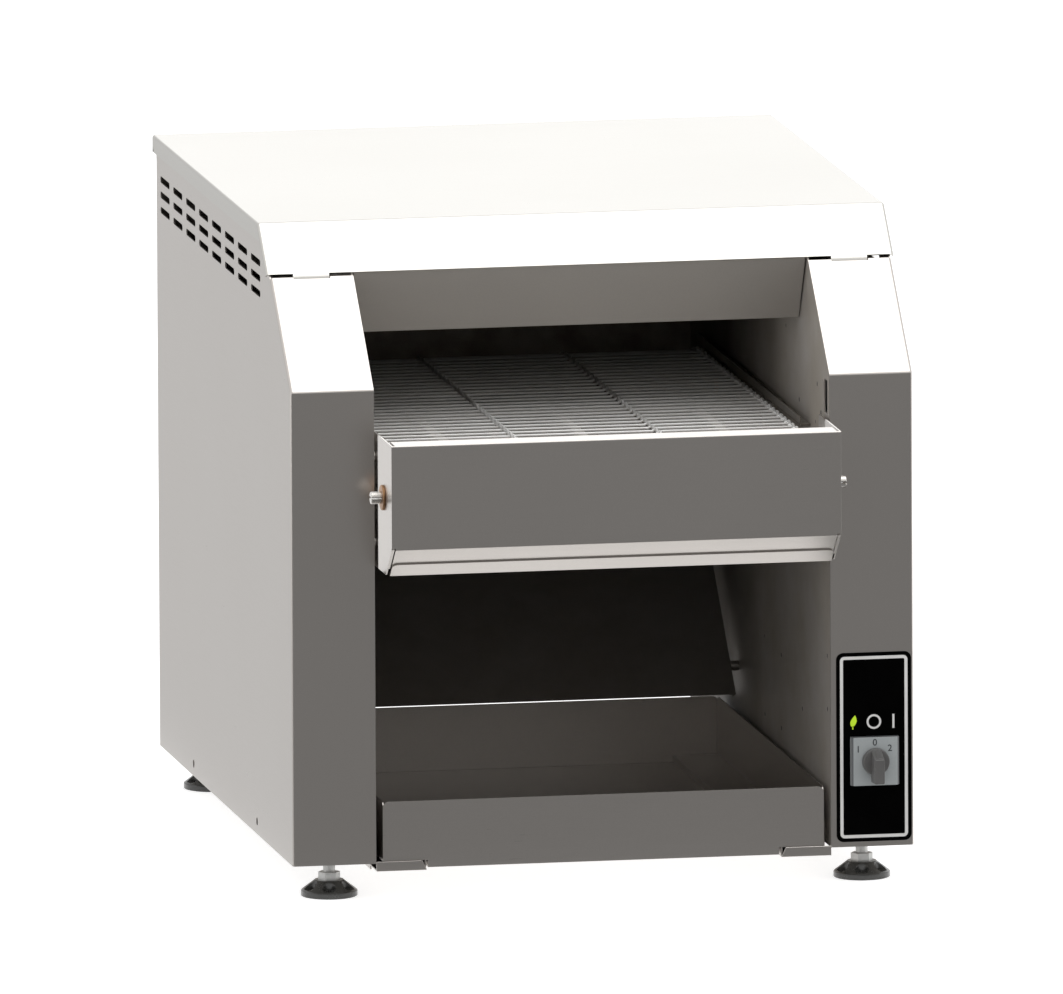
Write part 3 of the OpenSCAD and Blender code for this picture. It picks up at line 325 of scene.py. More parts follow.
# %% Plastic, film, paint and ceramic
def moulded(name, colour, other, roughness, metallic=0.0, peel=900, depth=0.15, coat=0.0):
    finish = Finish(name, metallic=metallic, coat_weight=coat)
    skin = finish.noise(peel, 2)
    drift = finish.noise(40, 2)
    finish.set(base_color=finish.blend(finish.between(drift + skin * 0.3, 0.4, 0.9), colour, other),
               roughness=skin * 0.1 + drift * 0.08 + (roughness - 0.09),
               normal=finish.bump(skin, depth, 0.0001))
    return finish.material


foot_plastic = moulded("foot_plastic", shade("333331"), shade("3b3b39"), 0.25, depth=0.05, coat=0.5)
knob_plastic = moulded("knob_plastic", shade("5c5b5a"), shade("666564"), 0.4)
label_film = moulded("label_film", shade("020202"), shade("040404"), 0.4, peel=500, depth=0.03)
label_film.node_tree.nodes["Principled BSDF"].inputs["Specular IOR Level"].default_value = 0.02
white_print = moulded("white_print", shade("dddcda"), shade("e6e5e3"), 0.45, depth=0.03)
# painted highlight: a light grey for the strip along the crease of the knob's grip
crease_highlight_paint = moulded("crease_highlight_paint", shade("8a8988"), shade("929190"), 0.45, depth=0.03)
green_print = moulded("green_print", shade("d0ff22"), shade("d8ff2a"), 0.45, depth=0.03)
dark_print = moulded("dark_print", shade("3c3e41"), shade("46484b"), 0.45, depth=0.03)
motor_paint = moulded("motor_paint", shade("242426"), shade("2e2e30"), 0.35, coat=0.2)
switch_plastic = moulded("switch_plastic", shade("202022"), shade("2a2a2c"), 0.45)
glazed_ceramic = moulded("glazed_ceramic", shade("e6e1d6"), shade("d8d0c0"), 0.15, peel=200, coat=0.5)
print("materials so far:", len(bpy.data.materials))

# %% [markdown]
# The switch plate is moulded in one light grey, and its sloping border and its sides are
# coloured a darker grey. How far a point lies behind the plate's face tells the border
# from the face, and Object coordinates give that distance.

# %% Switch plate plastic
PLATE_FACE = -8.6
FACE_DEPTH, BORDER_DEPTH = 0.1, 0.9

plate = Finish("plate_plastic", roughness=0.4)
skin = plate.noise(900, 2)
depth = plate.axis("Y") - at(0, PLATE_FACE, 0).y
face_colour = plate.blend(skin, shade("a2a7a8"), shade("acb1b2"))
border = plate.between(depth, FACE_DEPTH * MM, BORDER_DEPTH * MM)
plate.set(base_color=plate.blend(border, face_colour, shade("5c5e60")), roughness=skin * 0.1 + 0.35,
          normal=plate.bump(skin, 0.1, 0.0001))
plate_plastic = plate.material
print("the face's colour ends", FACE_DEPTH, "mm behind the face, and the border is dark from", BORDER_DEPTH)

# %% [markdown]
# A folded sheet never has a knife edge: outside a fold there is a radius of two or three
# millimetres, and even a cut edge is broken a little so that it doesn't cut fingers. Both
# could be drawn in CAD, at the cost of a heavy model. Here a copy of the CAD shape is
# joined into whole faces, and the bevel operator rounds the edges that are picked.

# %% Copies of CAD shapes, edges and finished pieces
def cad_copy(*nodes):
    """A bmesh of CAD nodes, with their loose triangles joined into whole faces."""
    bm = bmesh.new()
    for node in nodes:
        bm.from_mesh(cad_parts[node].data)
    bmesh.ops.remove_doubles(bm, verts=bm.verts, dist=2e-6)
    bmesh.ops.dissolve_limit(bm, angle_limit=math.radians(0.6), verts=bm.verts, edges=bm.edges)
    bmesh.ops.dissolve_degenerate(bm, dist=1e-5, edges=bm.edges)
    return bm


def bevel(bm, edges, width, segments=1):
    """Rounds edges by a width in millimetres."""
    if edges:
        bmesh.ops.bevel(bm, geom=edges, offset=width * MM, offset_type="OFFSET", segments=segments,
                        profile=0.5, affect="EDGES", material=-1, clamp_overlap=True)


def sharp_edges(bm, degrees=35):
    return [e for e in bm.edges if len(e.link_faces) == 2 and e.calc_face_angle(0) > math.radians(degrees)]


def fold_edges(bm, corner, normals, reach=5):
    """The edges of one fold across the machine: corner is its y and z, and normals are the
    outward directions of the two sheets that meet there."""
    line = (Vector(normals[0]).normalized() + Vector(normals[1]).normalized()).normalized()

    def on_fold(vertex):
        offset = drawn(vertex.co).yz - Vector(corner)
        return abs(offset.cross(line)) < 0.06 and offset.length < reach

    return [e for e in sharp_edges(bm, 8) if on_fold(e.verts[0]) and on_fold(e.verts[1])]


def piece(name, bm, body, material, replaces=(), smooth=32):
    """Makes a finished object of a bmesh, with round shapes shaded smooth."""
    mesh = bpy.data.meshes.new(name)
    bm.to_mesh(mesh)
    bm.free()
    mesh.materials.append(material)
    mesh.shade_smooth()
    mesh.set_sharp_from_angle(angle=math.radians(smooth))
    made = bpy.data.objects.new(name, mesh)
    bpy.context.scene.collection.objects.link(made)
    weights = made.modifiers.new("even_shading", "WEIGHTED_NORMAL")
    weights.keep_sharp = True
    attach(made, body)
    if replaces:
        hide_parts(*replaces)
    return made


test_copy = cad_copy("front_guard")
print("the front guard has", len(test_copy.faces), "whole faces and",
      len(sharp_edges(test_copy)), "sharp edges")
test_copy.free()

# %% [markdown]
# The two housings are each one folded sheet: side, front post and sloping shoulder. Their
# long edges are already round in the CAD shape, so only the fold at the knee, where the
# post turns back into the slope, still needs its radius, and all cut edges are broken.

# %% Housings
KNEE = (0, 470)
SLOPE_TOP = (161, 614)
OUT_POST = (-1, 0)
OUT_SLOPE = (-144, 161)
UP = (0, 1)
KNEE_FOLD = 1.6
EDGE_BREAK = 0.2

for side in ("left", "right"):
    bm = cad_copy(side + "_casing")
    bevel(bm, fold_edges(bm, KNEE, (OUT_POST, OUT_SLOPE)), KNEE_FOLD, 3)
    bevel(bm, sharp_edges(bm, 40), EDGE_BREAK)
    housing = piece(side + "_housing", bm, "cabinet", side_steel, [side + "_casing"])
    print(housing.name, len(housing.data.polygons), "faces")

# %% [markdown]
# The hood is one sheet as well, folded at the top of the slope, at the back and along both
# sides. Two tabs on its front edge drop into the posts; their ends are bent in a little
# further than in the CAD shape, which opens a thin dark line under them. The visor plate
# hangs under the front edge.

# %% Hood and visor
HOOD_BACK = 743.4
HOOD_TOP = 614
HOOD_EDGE = 150
TAB_BEND = 1.5
SLOPE_FOLD, BACK_FOLD = 1.4, 2
ALONG_SLOPE = (Vector(SLOPE_TOP) - Vector(KNEE)).normalized()
INTO_SLOPE = -Vector(OUT_SLOPE).normalized()

bm = cad_copy("hood")
for v in bm.verts:
    if (drawn(v.co).yz - Vector(KNEE)).dot(ALONG_SLOPE) < HOOD_EDGE - 1:
        v.co.yz += INTO_SLOPE * TAB_BEND * MM
bevel(bm, fold_edges(bm, SLOPE_TOP, (OUT_SLOPE, UP)), SLOPE_FOLD, 3)
bevel(bm, fold_edges(bm, (HOOD_BACK, HOOD_TOP), (UP, (1, 0))), BACK_FOLD, 3)
bevel(bm, sharp_edges(bm, 40), EDGE_BREAK)
hood = piece("hood_sheet", bm, "hood_cover", hood_steel, ["hood"])

bm = cad_copy("visor")
bevel(bm, sharp_edges(bm, 40), 0.4, 2)
visor = piece("visor_plate", bm, "hood_cover", plain_steel, ["visor"])
print("hood", len(hood.data.polygons), "faces; visor", len(visor.data.polygons))

# %% [markdown]
# The front guard is the deepest folding job: a flange turns in along its top, another
# slopes back under it, and its last strip is a hem laid flat on itself. The radius of each
# fold is what shows as a thin bright or dark line along it.

# %% Front guard and its end plates
GUARD_FACE = -76
GUARD_TOP = 426
GUARD_LOW = 323
GUARD_ANGLE = math.radians(41.3)
GUARD_END = 220
TOP_FOLD, LOW_FOLD, END_FOLD = 1.4, 1.2, 1.3


def upright_end(edge):
    """One of the two upright edges at the ends of the guard's face."""
    low, high = sorted((drawn(v.co) for v in edge.verts), key=lambda p: p.z)
    at_end = min(abs(low.x), abs(high.x)) > GUARD_END
    return at_end and high.z - low.z > 50 and max(low.y, high.y) < GUARD_FACE + 0.1


bm = cad_copy("front_guard")
bevel(bm, fold_edges(bm, (GUARD_FACE, GUARD_TOP), (OUT_POST, UP)), TOP_FOLD, 3)
bevel(bm, fold_edges(bm, (GUARD_FACE, GUARD_LOW),
                     (OUT_POST, (-math.sin(GUARD_ANGLE), -math.cos(GUARD_ANGLE)))), LOW_FOLD, 3)
bevel(bm, [e for e in sharp_edges(bm) if upright_end(e)], END_FOLD, 4)
bevel(bm, sharp_edges(bm, 40), EDGE_BREAK)
guard = piece("guard_sheet", bm, "cabinet", guard_steel, ["front_guard"])
for side in ("left", "right"):
    bm = cad_copy(side + "_guard_plate")
    bevel(bm, sharp_edges(bm, 30), EDGE_BREAK)
    piece(side + "_guard_end", bm, "cabinet", side_steel, [side + "_guard_plate"])
print("guard", len(guard.data.polygons), "faces")

# %% [markdown]
# Tray, runners, chute and the inner walls are thin sheets whose shape is right already.
# One loop breaks their edges, each with the width that suits its thickness. The tray's
# inner folds get a radius too, and the runners go down by a hair, so that the tray slides
# over their broken edges without touching them.

# %% Thin sheets
THIN_SHEETS = [
    ("tray_sheet", "collecting_tray", "tray", tray_steel, "stainless_front", 0.25),
    ("runner_sheets", "tray_runners", "cabinet", tray_steel, "stainless_front", 0.3),
    ("chute_sheet", "chute", "cabinet", chute_steel, "oven_steel", 0.25),
    ("left_inner_wall", "left_frame_wall", "cabinet", oven_wall_steel, "stainless_front", 0.2),
    ("right_inner_wall", "right_frame_wall", "cabinet", oven_wall_steel, "stainless_front", 0.2),
    ("rear_panel", "back_panel", "cabinet", side_steel, "stainless_side", 0.25),
    ("belt_guide_angles", "belt_guides", "cabinet", chute_steel, "oven_steel", 0.25),
    ("ceiling_sheet", "oven_ceiling", "cabinet", oven_sheet_steel, "stainless_side", 0.25),
]
TRAY_WELL = -4.1
TRAY_LEDGE = 3.2
TRAY_FOLD = 0.9
SLIDING_GAP = 0.03


def inner_fold(edge):
    """One of the tray's long folds, seen from inside: in the well, or at the ledge or above it."""
    middle = drawn((edge.verts[0].co + edge.verts[1].co) / 2)
    inside = abs(middle.z - TRAY_WELL) < 0.3 or middle.z > TRAY_LEDGE - 0.3
    return inside and not edge.is_convex and edge.calc_length() > 40 * MM


for name, node, body, material, slot, width in THIN_SHEETS:
    bm = cad_copy(node)
    if node == "collecting_tray":
        bevel(bm, [e for e in sharp_edges(bm) if inner_fold(e)], TRAY_FOLD, 3)
    bevel(bm, sharp_edges(bm, 40), width)
    if node == "tray_runners":
        bmesh.ops.translate(bm, verts=bm.verts, vec=(0, 0, -SLIDING_GAP * MM))
    made = piece(name, bm, body, material, [node])
    print(name, len(made.data.polygons), "faces")

# %% [markdown]
# Shaft, bushings, pins, distance pieces and the cable gland are turned parts with a small
# chamfer on each end.

# %% Turned parts
TURNED_PARTS = [
    ("front_shaft", "idler_shaft", "idler_roller", shaft_steel, "bright_steel", 0.6),
    ("front_bushings", "idler_bushings", "cabinet", bushing_bronze, "bronze", 0.4),
    ("chute_pins", "chute_bosses", "cabinet", shaft_steel, "bright_steel", 0.4),
    ("guard_distance_pieces", "guard_spacers", "cabinet", shaft_steel, "bright_steel", 0.4),
    ("gland_body", "cable_gland", "cabinet", foot_plastic, "black_plastic", 0.5),
]
for name, node, body, material, slot, width in TURNED_PARTS:
    bm = cad_copy(node)
    bevel(bm, sharp_edges(bm, 50), width)
    made = piece(name, bm, body, material, [node])
    print(name, len(made.data.polygons), "faces")

# %% [markdown]
# The belt is a ladder of bent wires. Each wire runs straight across a lane, turns along the
# belt at the joint, hooks over its neighbour and goes on across the next lane one pitch
# further. A curve with a round bevel is the natural way to draw bent wire: one open
# spline for each wire, through the points where it bends.

# %% Where the belt's wires lie
AXIS_Z = 368.6
FRONT_AXIS_Y = -32
REAR_AXIS_Y = 588
PITCH = 20
RUN_WIRES = 31
TURN_WIRES = 11
WIRE_RADIUS = 1.45
BELT_RADIUS = PITCH * TURN_WIRES / (2 * math.pi)
STEP = 2 * math.pi / TURN_WIRES


def round_axis(axis_y, angle):
    return Vector((axis_y + BELT_RADIUS * math.cos(angle), AXIS_Z + BELT_RADIUS * math.sin(angle)))


wires = [Vector((FRONT_AXIS_Y + (i + 0.5) * PITCH, AXIS_Z + BELT_RADIUS)) for i in range(RUN_WIRES)]
wires += [round_axis(REAR_AXIS_Y, math.pi / 2 - (i + 0.5) * STEP) for i in range(6)]
wires += [Vector((REAR_AXIS_Y - i * PITCH, AXIS_Z - BELT_RADIUS)) for i in range(1, RUN_WIRES + 1)]
wires += [round_axis(FRONT_AXIS_Y, -math.pi / 2 - i * STEP) for i in range(1, 6)]
gaps = [(a - b).length for a, b in zip(wires, wires[1:] + wires[:1])]
print(len(wires), "wires; widest gap", round(max(gaps), 2))

# %% Bent wires
JOINTS = (-70.2, 70.2)
BELT_EDGE = 209.1
HOOK_SIDE = 2.6
HOOK_OVER = 2.6
HOOK_PAST = 2.7


def strand(here, after):
    """One wire's bends: across each lane, and over its neighbour at each joint."""
    along = (after - here).normalized()
    outward = Vector((-along.y, along.x))
    step = (after - here).length

    def bend(x, along_belt, lift):
        spot = here + along * along_belt + outward * lift
        return at(x, *spot)

    near = [(0.0, 0.0), (1.2, 0.0), (step - 4, 0.6), (step - 1.5, HOOK_OVER), (step + 1, HOOK_OVER)]
    far = (step + HOOK_PAST, 1.4)
    left, middle = -BELT_EDGE, JOINTS[0]
    path = [(left + 4.5, *far), (left + 1.2, *far)]
    path += [(left, *p) for p in reversed(near[1:])] + [(left + 0.8, 0.0, 0.0)]
    half = path + [(middle - HOOK_SIDE - 0.8, 0.0, 0.0)] + [(middle - HOOK_SIDE, *p) for p in near[1:]]
    half += [(middle - HOOK_SIDE + 1.2, *far), (middle - HOOK_SIDE + 4, step + HOOK_PAST, 0.0)]
    whole = half + [(-x, a, lift) for x, a, lift in reversed(half)]
    return [bend(*p) for p in whole]


curve = bpy.data.curves.new("belt_wires", "CURVE")
curve.dimensions = "3D"
curve.bevel_depth = WIRE_RADIUS * MM
curve.bevel_resolution = 2
curve.use_fill_caps = True
for here, after in zip(wires, wires[1:] + wires[:1]):
    points = strand(here, after)
    spline = curve.splines.new("POLY")
    spline.points.add(len(points) - 1)
    for point, spot in zip(spline.points, points):
        point.co = (*spot, 1)
shape = bpy.data.objects.new("belt_shape", curve)
bpy.context.scene.collection.objects.link(shape)
bpy.context.view_layer.update()
bm = bmesh.new()
bm.from_mesh(shape.evaluated_get(bpy.context.evaluated_depsgraph_get()).to_mesh())
bpy.data.objects.remove(shape)
bmesh.ops.recalc_face_normals(bm, faces=bm.faces)
belt = piece("belt_wires", bm, "cabinet", wire_steel, ["conveyor_belt"], 60)
print("belt:", len(belt.data.polygons), "faces")

# %% [markdown]
# The control panel: a black printed film, a square switch plate and a knob. The film and
# the plate keep their CAD shape. The printed marks are real, very thin solids, so that
# they show in any renderer: a border, a leaf for the saving mode, a ring for off and a bar
# for on, and the numbers of the switch.

# %% Film, plate and marks
LABEL_X = 270
LABEL_LOW, LABEL_HIGH = 5, 193
FILM_FACE = -0.6
INK = 0.08
MARK_Z = 124
KNOB_Z = 85.7
BORDER_SIZE = (67.6, 180.6)
BORDER_CORNER, BORDER_STROKE = 4.5, 3.1
RING_SIZE, RING_CORNER, RING_STROKE = 14.6, 7.29, 2
BAR_SIZE = (2.1, 14)
# how far each mark stands to the right of the film's middle
BAR_ACROSS, LEAF_ACROSS = 19.5, -20.2


def to_front(bm, x, y, z):
    """Stands a shape drawn flat in millimetres up on the front, at x and z, with its underside at y."""
    turn = Matrix.Translation(at(x, y, z)) @ Matrix.Rotation(math.pi / 2, 4, "X") @ Matrix.Scale(MM, 4)
    bmesh.ops.transform(bm, matrix=turn, verts=bm.verts)


def thicken(bm, height):
    """Gives flat faces a thickness, and points all faces outwards."""
    raised = bmesh.ops.extrude_face_region(bm, geom=bm.faces[:], use_keep_orig=True)
    verts = [v for v in raised["geom"] if isinstance(v, bmesh.types.BMVert)]
    bmesh.ops.translate(bm, verts=verts, vec=(0, 0, height))
    bmesh.ops.recalc_face_normals(bm, faces=bm.faces)


def flat_ring(width, height, corner, stroke, segments=8):
    """A flat frame with round corners, drawn round the origin."""
    bm = bmesh.new()
    bmesh.ops.create_grid(bm, x_segments=1, y_segments=1, size=0.5)
    bmesh.ops.scale(bm, verts=bm.verts, vec=(width, height, 1))
    bmesh.ops.bevel(bm, geom=bm.verts[:], offset=corner, offset_type="OFFSET", segments=segments,
                    profile=0.5, affect="VERTICES", material=-1)
    inner = bm.faces[:]
    bmesh.ops.inset_individual(bm, faces=inner, thickness=stroke, use_even_offset=True)
    bmesh.ops.delete(bm, geom=inner, context="FACES")
    return bm


for name, node, material, slot in (("panel_film", "control_label", label_film, "label_film"),
                                   ("switch_bezel", "switch_plate", plate_plastic, "grey_plastic")):
    bm = cad_copy(node)
    bevel(bm, sharp_edges(bm, 30), 0.15 if node == "control_label" else 0.5, 2)
    piece(name, bm, "cabinet", material, [node])

bm = flat_ring(*BORDER_SIZE, BORDER_CORNER, BORDER_STROKE)
thicken(bm, INK)
to_front(bm, LABEL_X, FILM_FACE, (LABEL_LOW + LABEL_HIGH) / 2)
piece("panel_border", bm, "cabinet", white_print)

bm = flat_ring(RING_SIZE, RING_SIZE, RING_CORNER, RING_STROKE, 12)
thicken(bm, INK)
to_front(bm, LABEL_X, FILM_FACE, MARK_Z)
piece("off_mark", bm, "cabinet", white_print)

bm = bmesh.new()
bmesh.ops.create_grid(bm, x_segments=1, y_segments=1, size=0.5)
bmesh.ops.scale(bm, verts=bm.verts, vec=(*BAR_SIZE, 1))
thicken(bm, INK)
to_front(bm, LABEL_X + BAR_ACROSS, FILM_FACE, MARK_Z)
piece("on_mark", bm, "cabinet", white_print)

bm = bmesh.new()
bmesh.ops.create_circle(bm, cap_ends=True, segments=28, radius=1)
for v in bm.verts:
    narrow = 1 - 0.55 * max(0, v.co.y)
    v.co = Vector((3.1 * v.co.x * narrow + 1.3 * v.co.y, 5.6 * v.co.y + 1, 0))
stalk = bmesh.ops.create_grid(bm, x_segments=1, y_segments=1, size=0.5)["verts"]
bmesh.ops.scale(bm, verts=stalk, vec=(1.1, 3.4, 1))
bmesh.ops.translate(bm, verts=stalk, vec=(-0.9, -5.6, 0))
thicken(bm, INK)
to_front(bm, LABEL_X + LEAF_ACROSS, FILM_FACE, MARK_Z)
piece("saving_mark", bm, "cabinet", green_print)

NUMBERS = (("1", -17.3, 12.2), ("0", -0.6, 18.6), ("2", 14.4, 12.6))
for number, across, up in NUMBERS:
    text = bpy.data.curves.new("number", "FONT")
    text.body = number
    text.size = 9.2
    text.offset = 0.12
    text.align_x = "CENTER"
    text.align_y = "CENTER"
    sign = bpy.data.objects.new("number", text)
    bpy.context.scene.collection.objects.link(sign)
    bpy.context.view_layer.update()
    bm = bmesh.new()
    bm.from_mesh(sign.evaluated_get(bpy.context.evaluated_depsgraph_get()).to_mesh())
    bpy.data.objects.remove(sign)
    thicken(bm, INK)
    to_front(bm, LABEL_X + across, PLATE_FACE, KNOB_Z + up)
    piece("number_" + number, bm, "cabinet", dark_print)
print("marks:", len(NUMBERS) + 4)

# %% [markdown]
# The knob is a moulded disc with a finger grip across it. The grip starts as a box: its
# upper end is pulled back into a slope, the two corners of that end get a large radius, the
# two at the other end and the rim a small one, and a light grey strip just under the crease
# of the slope is painted highlight along that crease.

# %% Knob
KNOB_FACE = -9
KNOB_RADIUS = 13.5
DISC_HEIGHT = 6
GRIP_WIDTH = 10.8
GRIP_HEIGHT = 22
GRIP_LOW, GRIP_HIGH, GRIP_TIP = -20, 12.5, 6.5

bm = bmesh.new()
bmesh.ops.create_cone(bm, cap_ends=True, segments=64, radius1=KNOB_RADIUS, radius2=KNOB_RADIUS - 0.4,
                      depth=DISC_HEIGHT)
bmesh.ops.translate(bm, verts=bm.verts, vec=(0, 0, DISC_HEIGHT / 2))
rim = [e for e in bm.edges if all(v.co.z > DISC_HEIGHT - 0.01 for v in e.verts)]
bmesh.ops.bevel(bm, geom=rim, offset=1, offset_type="OFFSET", segments=3, profile=0.5,
                affect="EDGES", material=-1)

grip = bmesh.new()
bmesh.ops.create_cube(grip, size=1)
bmesh.ops.scale(grip, verts=grip.verts, vec=(GRIP_WIDTH, GRIP_HIGH - GRIP_LOW, GRIP_HEIGHT - DISC_HEIGHT + 1))
bmesh.ops.translate(grip, verts=grip.verts,
                    vec=(0, (GRIP_HIGH + GRIP_LOW) / 2, (GRIP_HEIGHT + DISC_HEIGHT - 1) / 2))
for v in grip.verts:
    if v.co.z > GRIP_HEIGHT - 1 and v.co.y > 0:
        v.co.y = GRIP_TIP
    elif v.co.z > GRIP_HEIGHT - 1:
        v.co.y += 0.6
    if v.co.z > GRIP_HEIGHT - 1:
        v.co.x *= 0.92
upright_edges = [e for e in grip.edges if abs(e.verts[0].co.z - e.verts[1].co.z) > 5]
for upper, radius in ((True, 3.2), (False, 1.2)):
    corners = [e for e in upright_edges if e.is_valid and (e.verts[0].co.y > 0) == upper]
    bmesh.ops.bevel(grip, geom=corners, offset=radius, offset_type="OFFSET", segments=5, profile=0.5,
                    affect="EDGES", material=-1)
rim = [e for e in grip.edges if all(v.co.z > GRIP_HEIGHT - 1 for v in e.verts) and e.calc_face_angle(0) > 0.4]
bmesh.ops.bevel(grip, geom=rim, offset=0.8, offset_type="OFFSET", segments=3, profile=0.5,
                affect="EDGES", material=-1)
grip_mesh = bpy.data.meshes.new("grip")
grip.to_mesh(grip_mesh)
grip.free()
bm.from_mesh(grip_mesh)
bmesh.ops.create_cone(bm, cap_ends=True, segments=32, radius1=4, radius2=4, depth=28.4,
                      matrix=Matrix.Translation((0, 0, -14.2)))
to_front(bm, LABEL_X, KNOB_FACE, KNOB_Z)
knob = piece("knob_moulding", bm, "knob", knob_plastic, ["selector_knob"])

# A thin light grey strip just under the grip's crease: painted highlight along the crease.
bm = bmesh.new()
bmesh.ops.create_grid(bm, x_segments=1, y_segments=1, size=0.5)
bmesh.ops.scale(bm, verts=bm.verts, vec=(8.2, 0.7, 1))
thicken(bm, INK)
to_front(bm, LABEL_X, KNOB_FACE - GRIP_HEIGHT, KNOB_Z + GRIP_TIP - 1.6)
piece("knob_crease_highlight", bm, "knob", crease_highlight_paint)
print("knob:", len(knob.data.polygons), "faces")

# %% [markdown]
# Each foot is a moulded base and a plated stud. The base is a lathe shape with six upright
# scoops in its flank, like the cuts of a round milling tool: a point of the flank that lies
# inside a tool's circle moves inwards to the circle's near side. The stud is plain next to
# its hexagon, and then threaded: a zigzag line spun round the axis, because at this pitch a
# stack of rings can't be told from a true spiral, and it closes cleanly.

# %% Foot bases
FEET = {"front_left": (-266, 44.5), "front_right": (266, 44.5),
        "rear_left": (-266, 695.5), "rear_right": (266, 695.5)}
BASE_TOP = 16
BASE_RADIUS, BASE_NECK = 28, 14.25
RIM_HEIGHT = 5.6
FLANK_RINGS = 16
SCOOPS = 6
SCOOP_REACH, SCOOP_RADIUS = 21.5, 6.2
SCOOP_FLOOR = 7
FACING = math.radians(-100)


def lathe(bm, outline, steps):
    """Spins an outline of (radius, height) points round the upright axis."""
    verts = [bm.verts.new((r, 0, z)) for r, z in outline]
    edges = [bm.edges.new(pair) for pair in zip(verts, verts[1:])]
    bmesh.ops.spin(bm, geom=verts + edges, cent=(0, 0, 0), axis=(0, 0, 1), angle=2 * math.pi, steps=steps,
                   use_merge=True)


def on_foot(bm, x, y):
    """Cleans a lathe shape drawn in millimetres and stands it on the floor at x and y."""
    bmesh.ops.remove_doubles(bm, verts=bm.verts, dist=1e-3)
    bmesh.ops.recalc_face_normals(bm, faces=bm.faces)
    bmesh.ops.transform(bm, matrix=Matrix.Translation(at(x, y, -37)) @ Matrix.Scale(MM, 4), verts=bm.verts)


def scoop_out(bm):
    half = math.pi / SCOOPS
    for v in bm.verts:
        reach = v.co.xy.length
        if v.co.z < SCOOP_FLOOR or reach < BASE_NECK:
            continue
        angle = (math.atan2(v.co.y, v.co.x) - FACING + half) % (2 * half) - half
        across = SCOOP_REACH * math.sin(angle)
        if abs(across) < SCOOP_RADIUS:
            middle, depth = SCOOP_REACH * math.cos(angle), math.sqrt(SCOOP_RADIUS ** 2 - across ** 2)
            if middle - depth < reach < middle + depth:
                v.co.xy *= (middle - depth) / reach


flank = [(BASE_RADIUS + (BASE_NECK - BASE_RADIUS) * i / FLANK_RINGS,
          RIM_HEIGHT + (BASE_TOP - RIM_HEIGHT) * i / FLANK_RINGS) for i in range(1, FLANK_RINGS + 1)]
outline = [(0, 0), (BASE_RADIUS - 0.6, 0), (BASE_RADIUS, 0.6),
           (BASE_RADIUS, RIM_HEIGHT - 0.5), (BASE_RADIUS - 0.3, RIM_HEIGHT)]
for foot, (x, y) in FEET.items():
    bm = bmesh.new()
    lathe(bm, outline + flank + [(0, BASE_TOP)], 144)
    scoop_out(bm)
    on_foot(bm, x, y)
    pad = piece(foot + "_pad", bm, foot + "_foot", foot_plastic, [foot + "_foot_base"])
print("one base:", len(pad.data.polygons), "faces")

# %% Studs
HEX_HEIGHT = 7.6
HEX_FLATS = 19
HEX_CHAMFER = 1.7
CREST, ROOT = 5.95, 5.2
THREAD_PITCH = 1.75
STUD_TOP = 67
PLAIN = 8

plain_top = BASE_TOP + HEX_HEIGHT + PLAIN
turns = int((STUD_TOP - plain_top) / THREAD_PITCH)
outline = [(0, BASE_TOP + HEX_HEIGHT - 1), (CREST, BASE_TOP + HEX_HEIGHT - 1),
           (CREST, plain_top), (ROOT, plain_top + 0.5)]
for ring in range(turns):
    low = plain_top + 0.5 + ring * THREAD_PITCH
    outline += [(CREST, low + 0.45 * THREAD_PITCH), (CREST, low + 0.55 * THREAD_PITCH),
                (ROOT, low + THREAD_PITCH)]
outline += [(0, outline[-1][1])]
for foot, (x, y) in FEET.items():
    bm = bmesh.new()
    bmesh.ops.create_cone(bm, cap_ends=True, segments=6, radius1=HEX_FLATS / math.sqrt(3),
                          radius2=HEX_FLATS / math.sqrt(3), depth=HEX_HEIGHT)
    bmesh.ops.rotate(bm, verts=bm.verts, cent=(0, 0, 0), matrix=Matrix.Rotation(math.pi / 6, 3, "Z"))
    for corner in range(6):
        out = Matrix.Rotation(corner * math.pi / 3, 3, "Z") @ Vector((0, 1, 0))
        for up in (-1, 1):
            corner_end = out * (HEX_FLATS / 2 + 0.1) + Vector((0, 0, up * HEX_HEIGHT / 2))
            cut = bmesh.ops.bisect_plane(bm, geom=bm.verts[:] + bm.edges[:] + bm.faces[:], dist=1e-4,
                                         plane_co=corner_end, plane_no=out + Vector((0, 0, up * HEX_CHAMFER)),
                                         clear_outer=True)
            rim = [e for e in cut["geom_cut"] if isinstance(e, bmesh.types.BMEdge)]
            bmesh.ops.contextual_create(bm, geom=rim)
    bmesh.ops.translate(bm, verts=bm.verts, vec=(0, 0, BASE_TOP + HEX_HEIGHT / 2))
    lathe(bm, outline, 32)
    on_foot(bm, x, y)
    stud = piece(foot + "_threaded_stud", bm, foot + "_foot", plated_steel,
                 [foot + "_foot_stud"], 25)
print("one stud:", len(stud.data.polygons), "faces,", turns, "turns of thread")

# %% [markdown]
# Some holes of the inner walls hold small dark discs, set back a little from the wall's
# face: painted shade for the dark inside of the holes.

# %% Dark discs in the wall holes, as painted shade
WALL_FACE = 227
WALL_SHEET = 1.5
SHADE_DISC_DEPTH = 0.15
# y, z and radius of each hole
SHADE_DISC_HOLES = [(64, 451, 2.5), (158, 421, 2.5), (226, 484, 2), (73, 412, 2), (45, 425, 3), (17, 188, 2.5),
              (17, 135, 2.5), (148, 114, 2.5), (257, 150, 2.5), (257, 77, 2.5), (344, 77, 2.5), (344, 155, 2)]

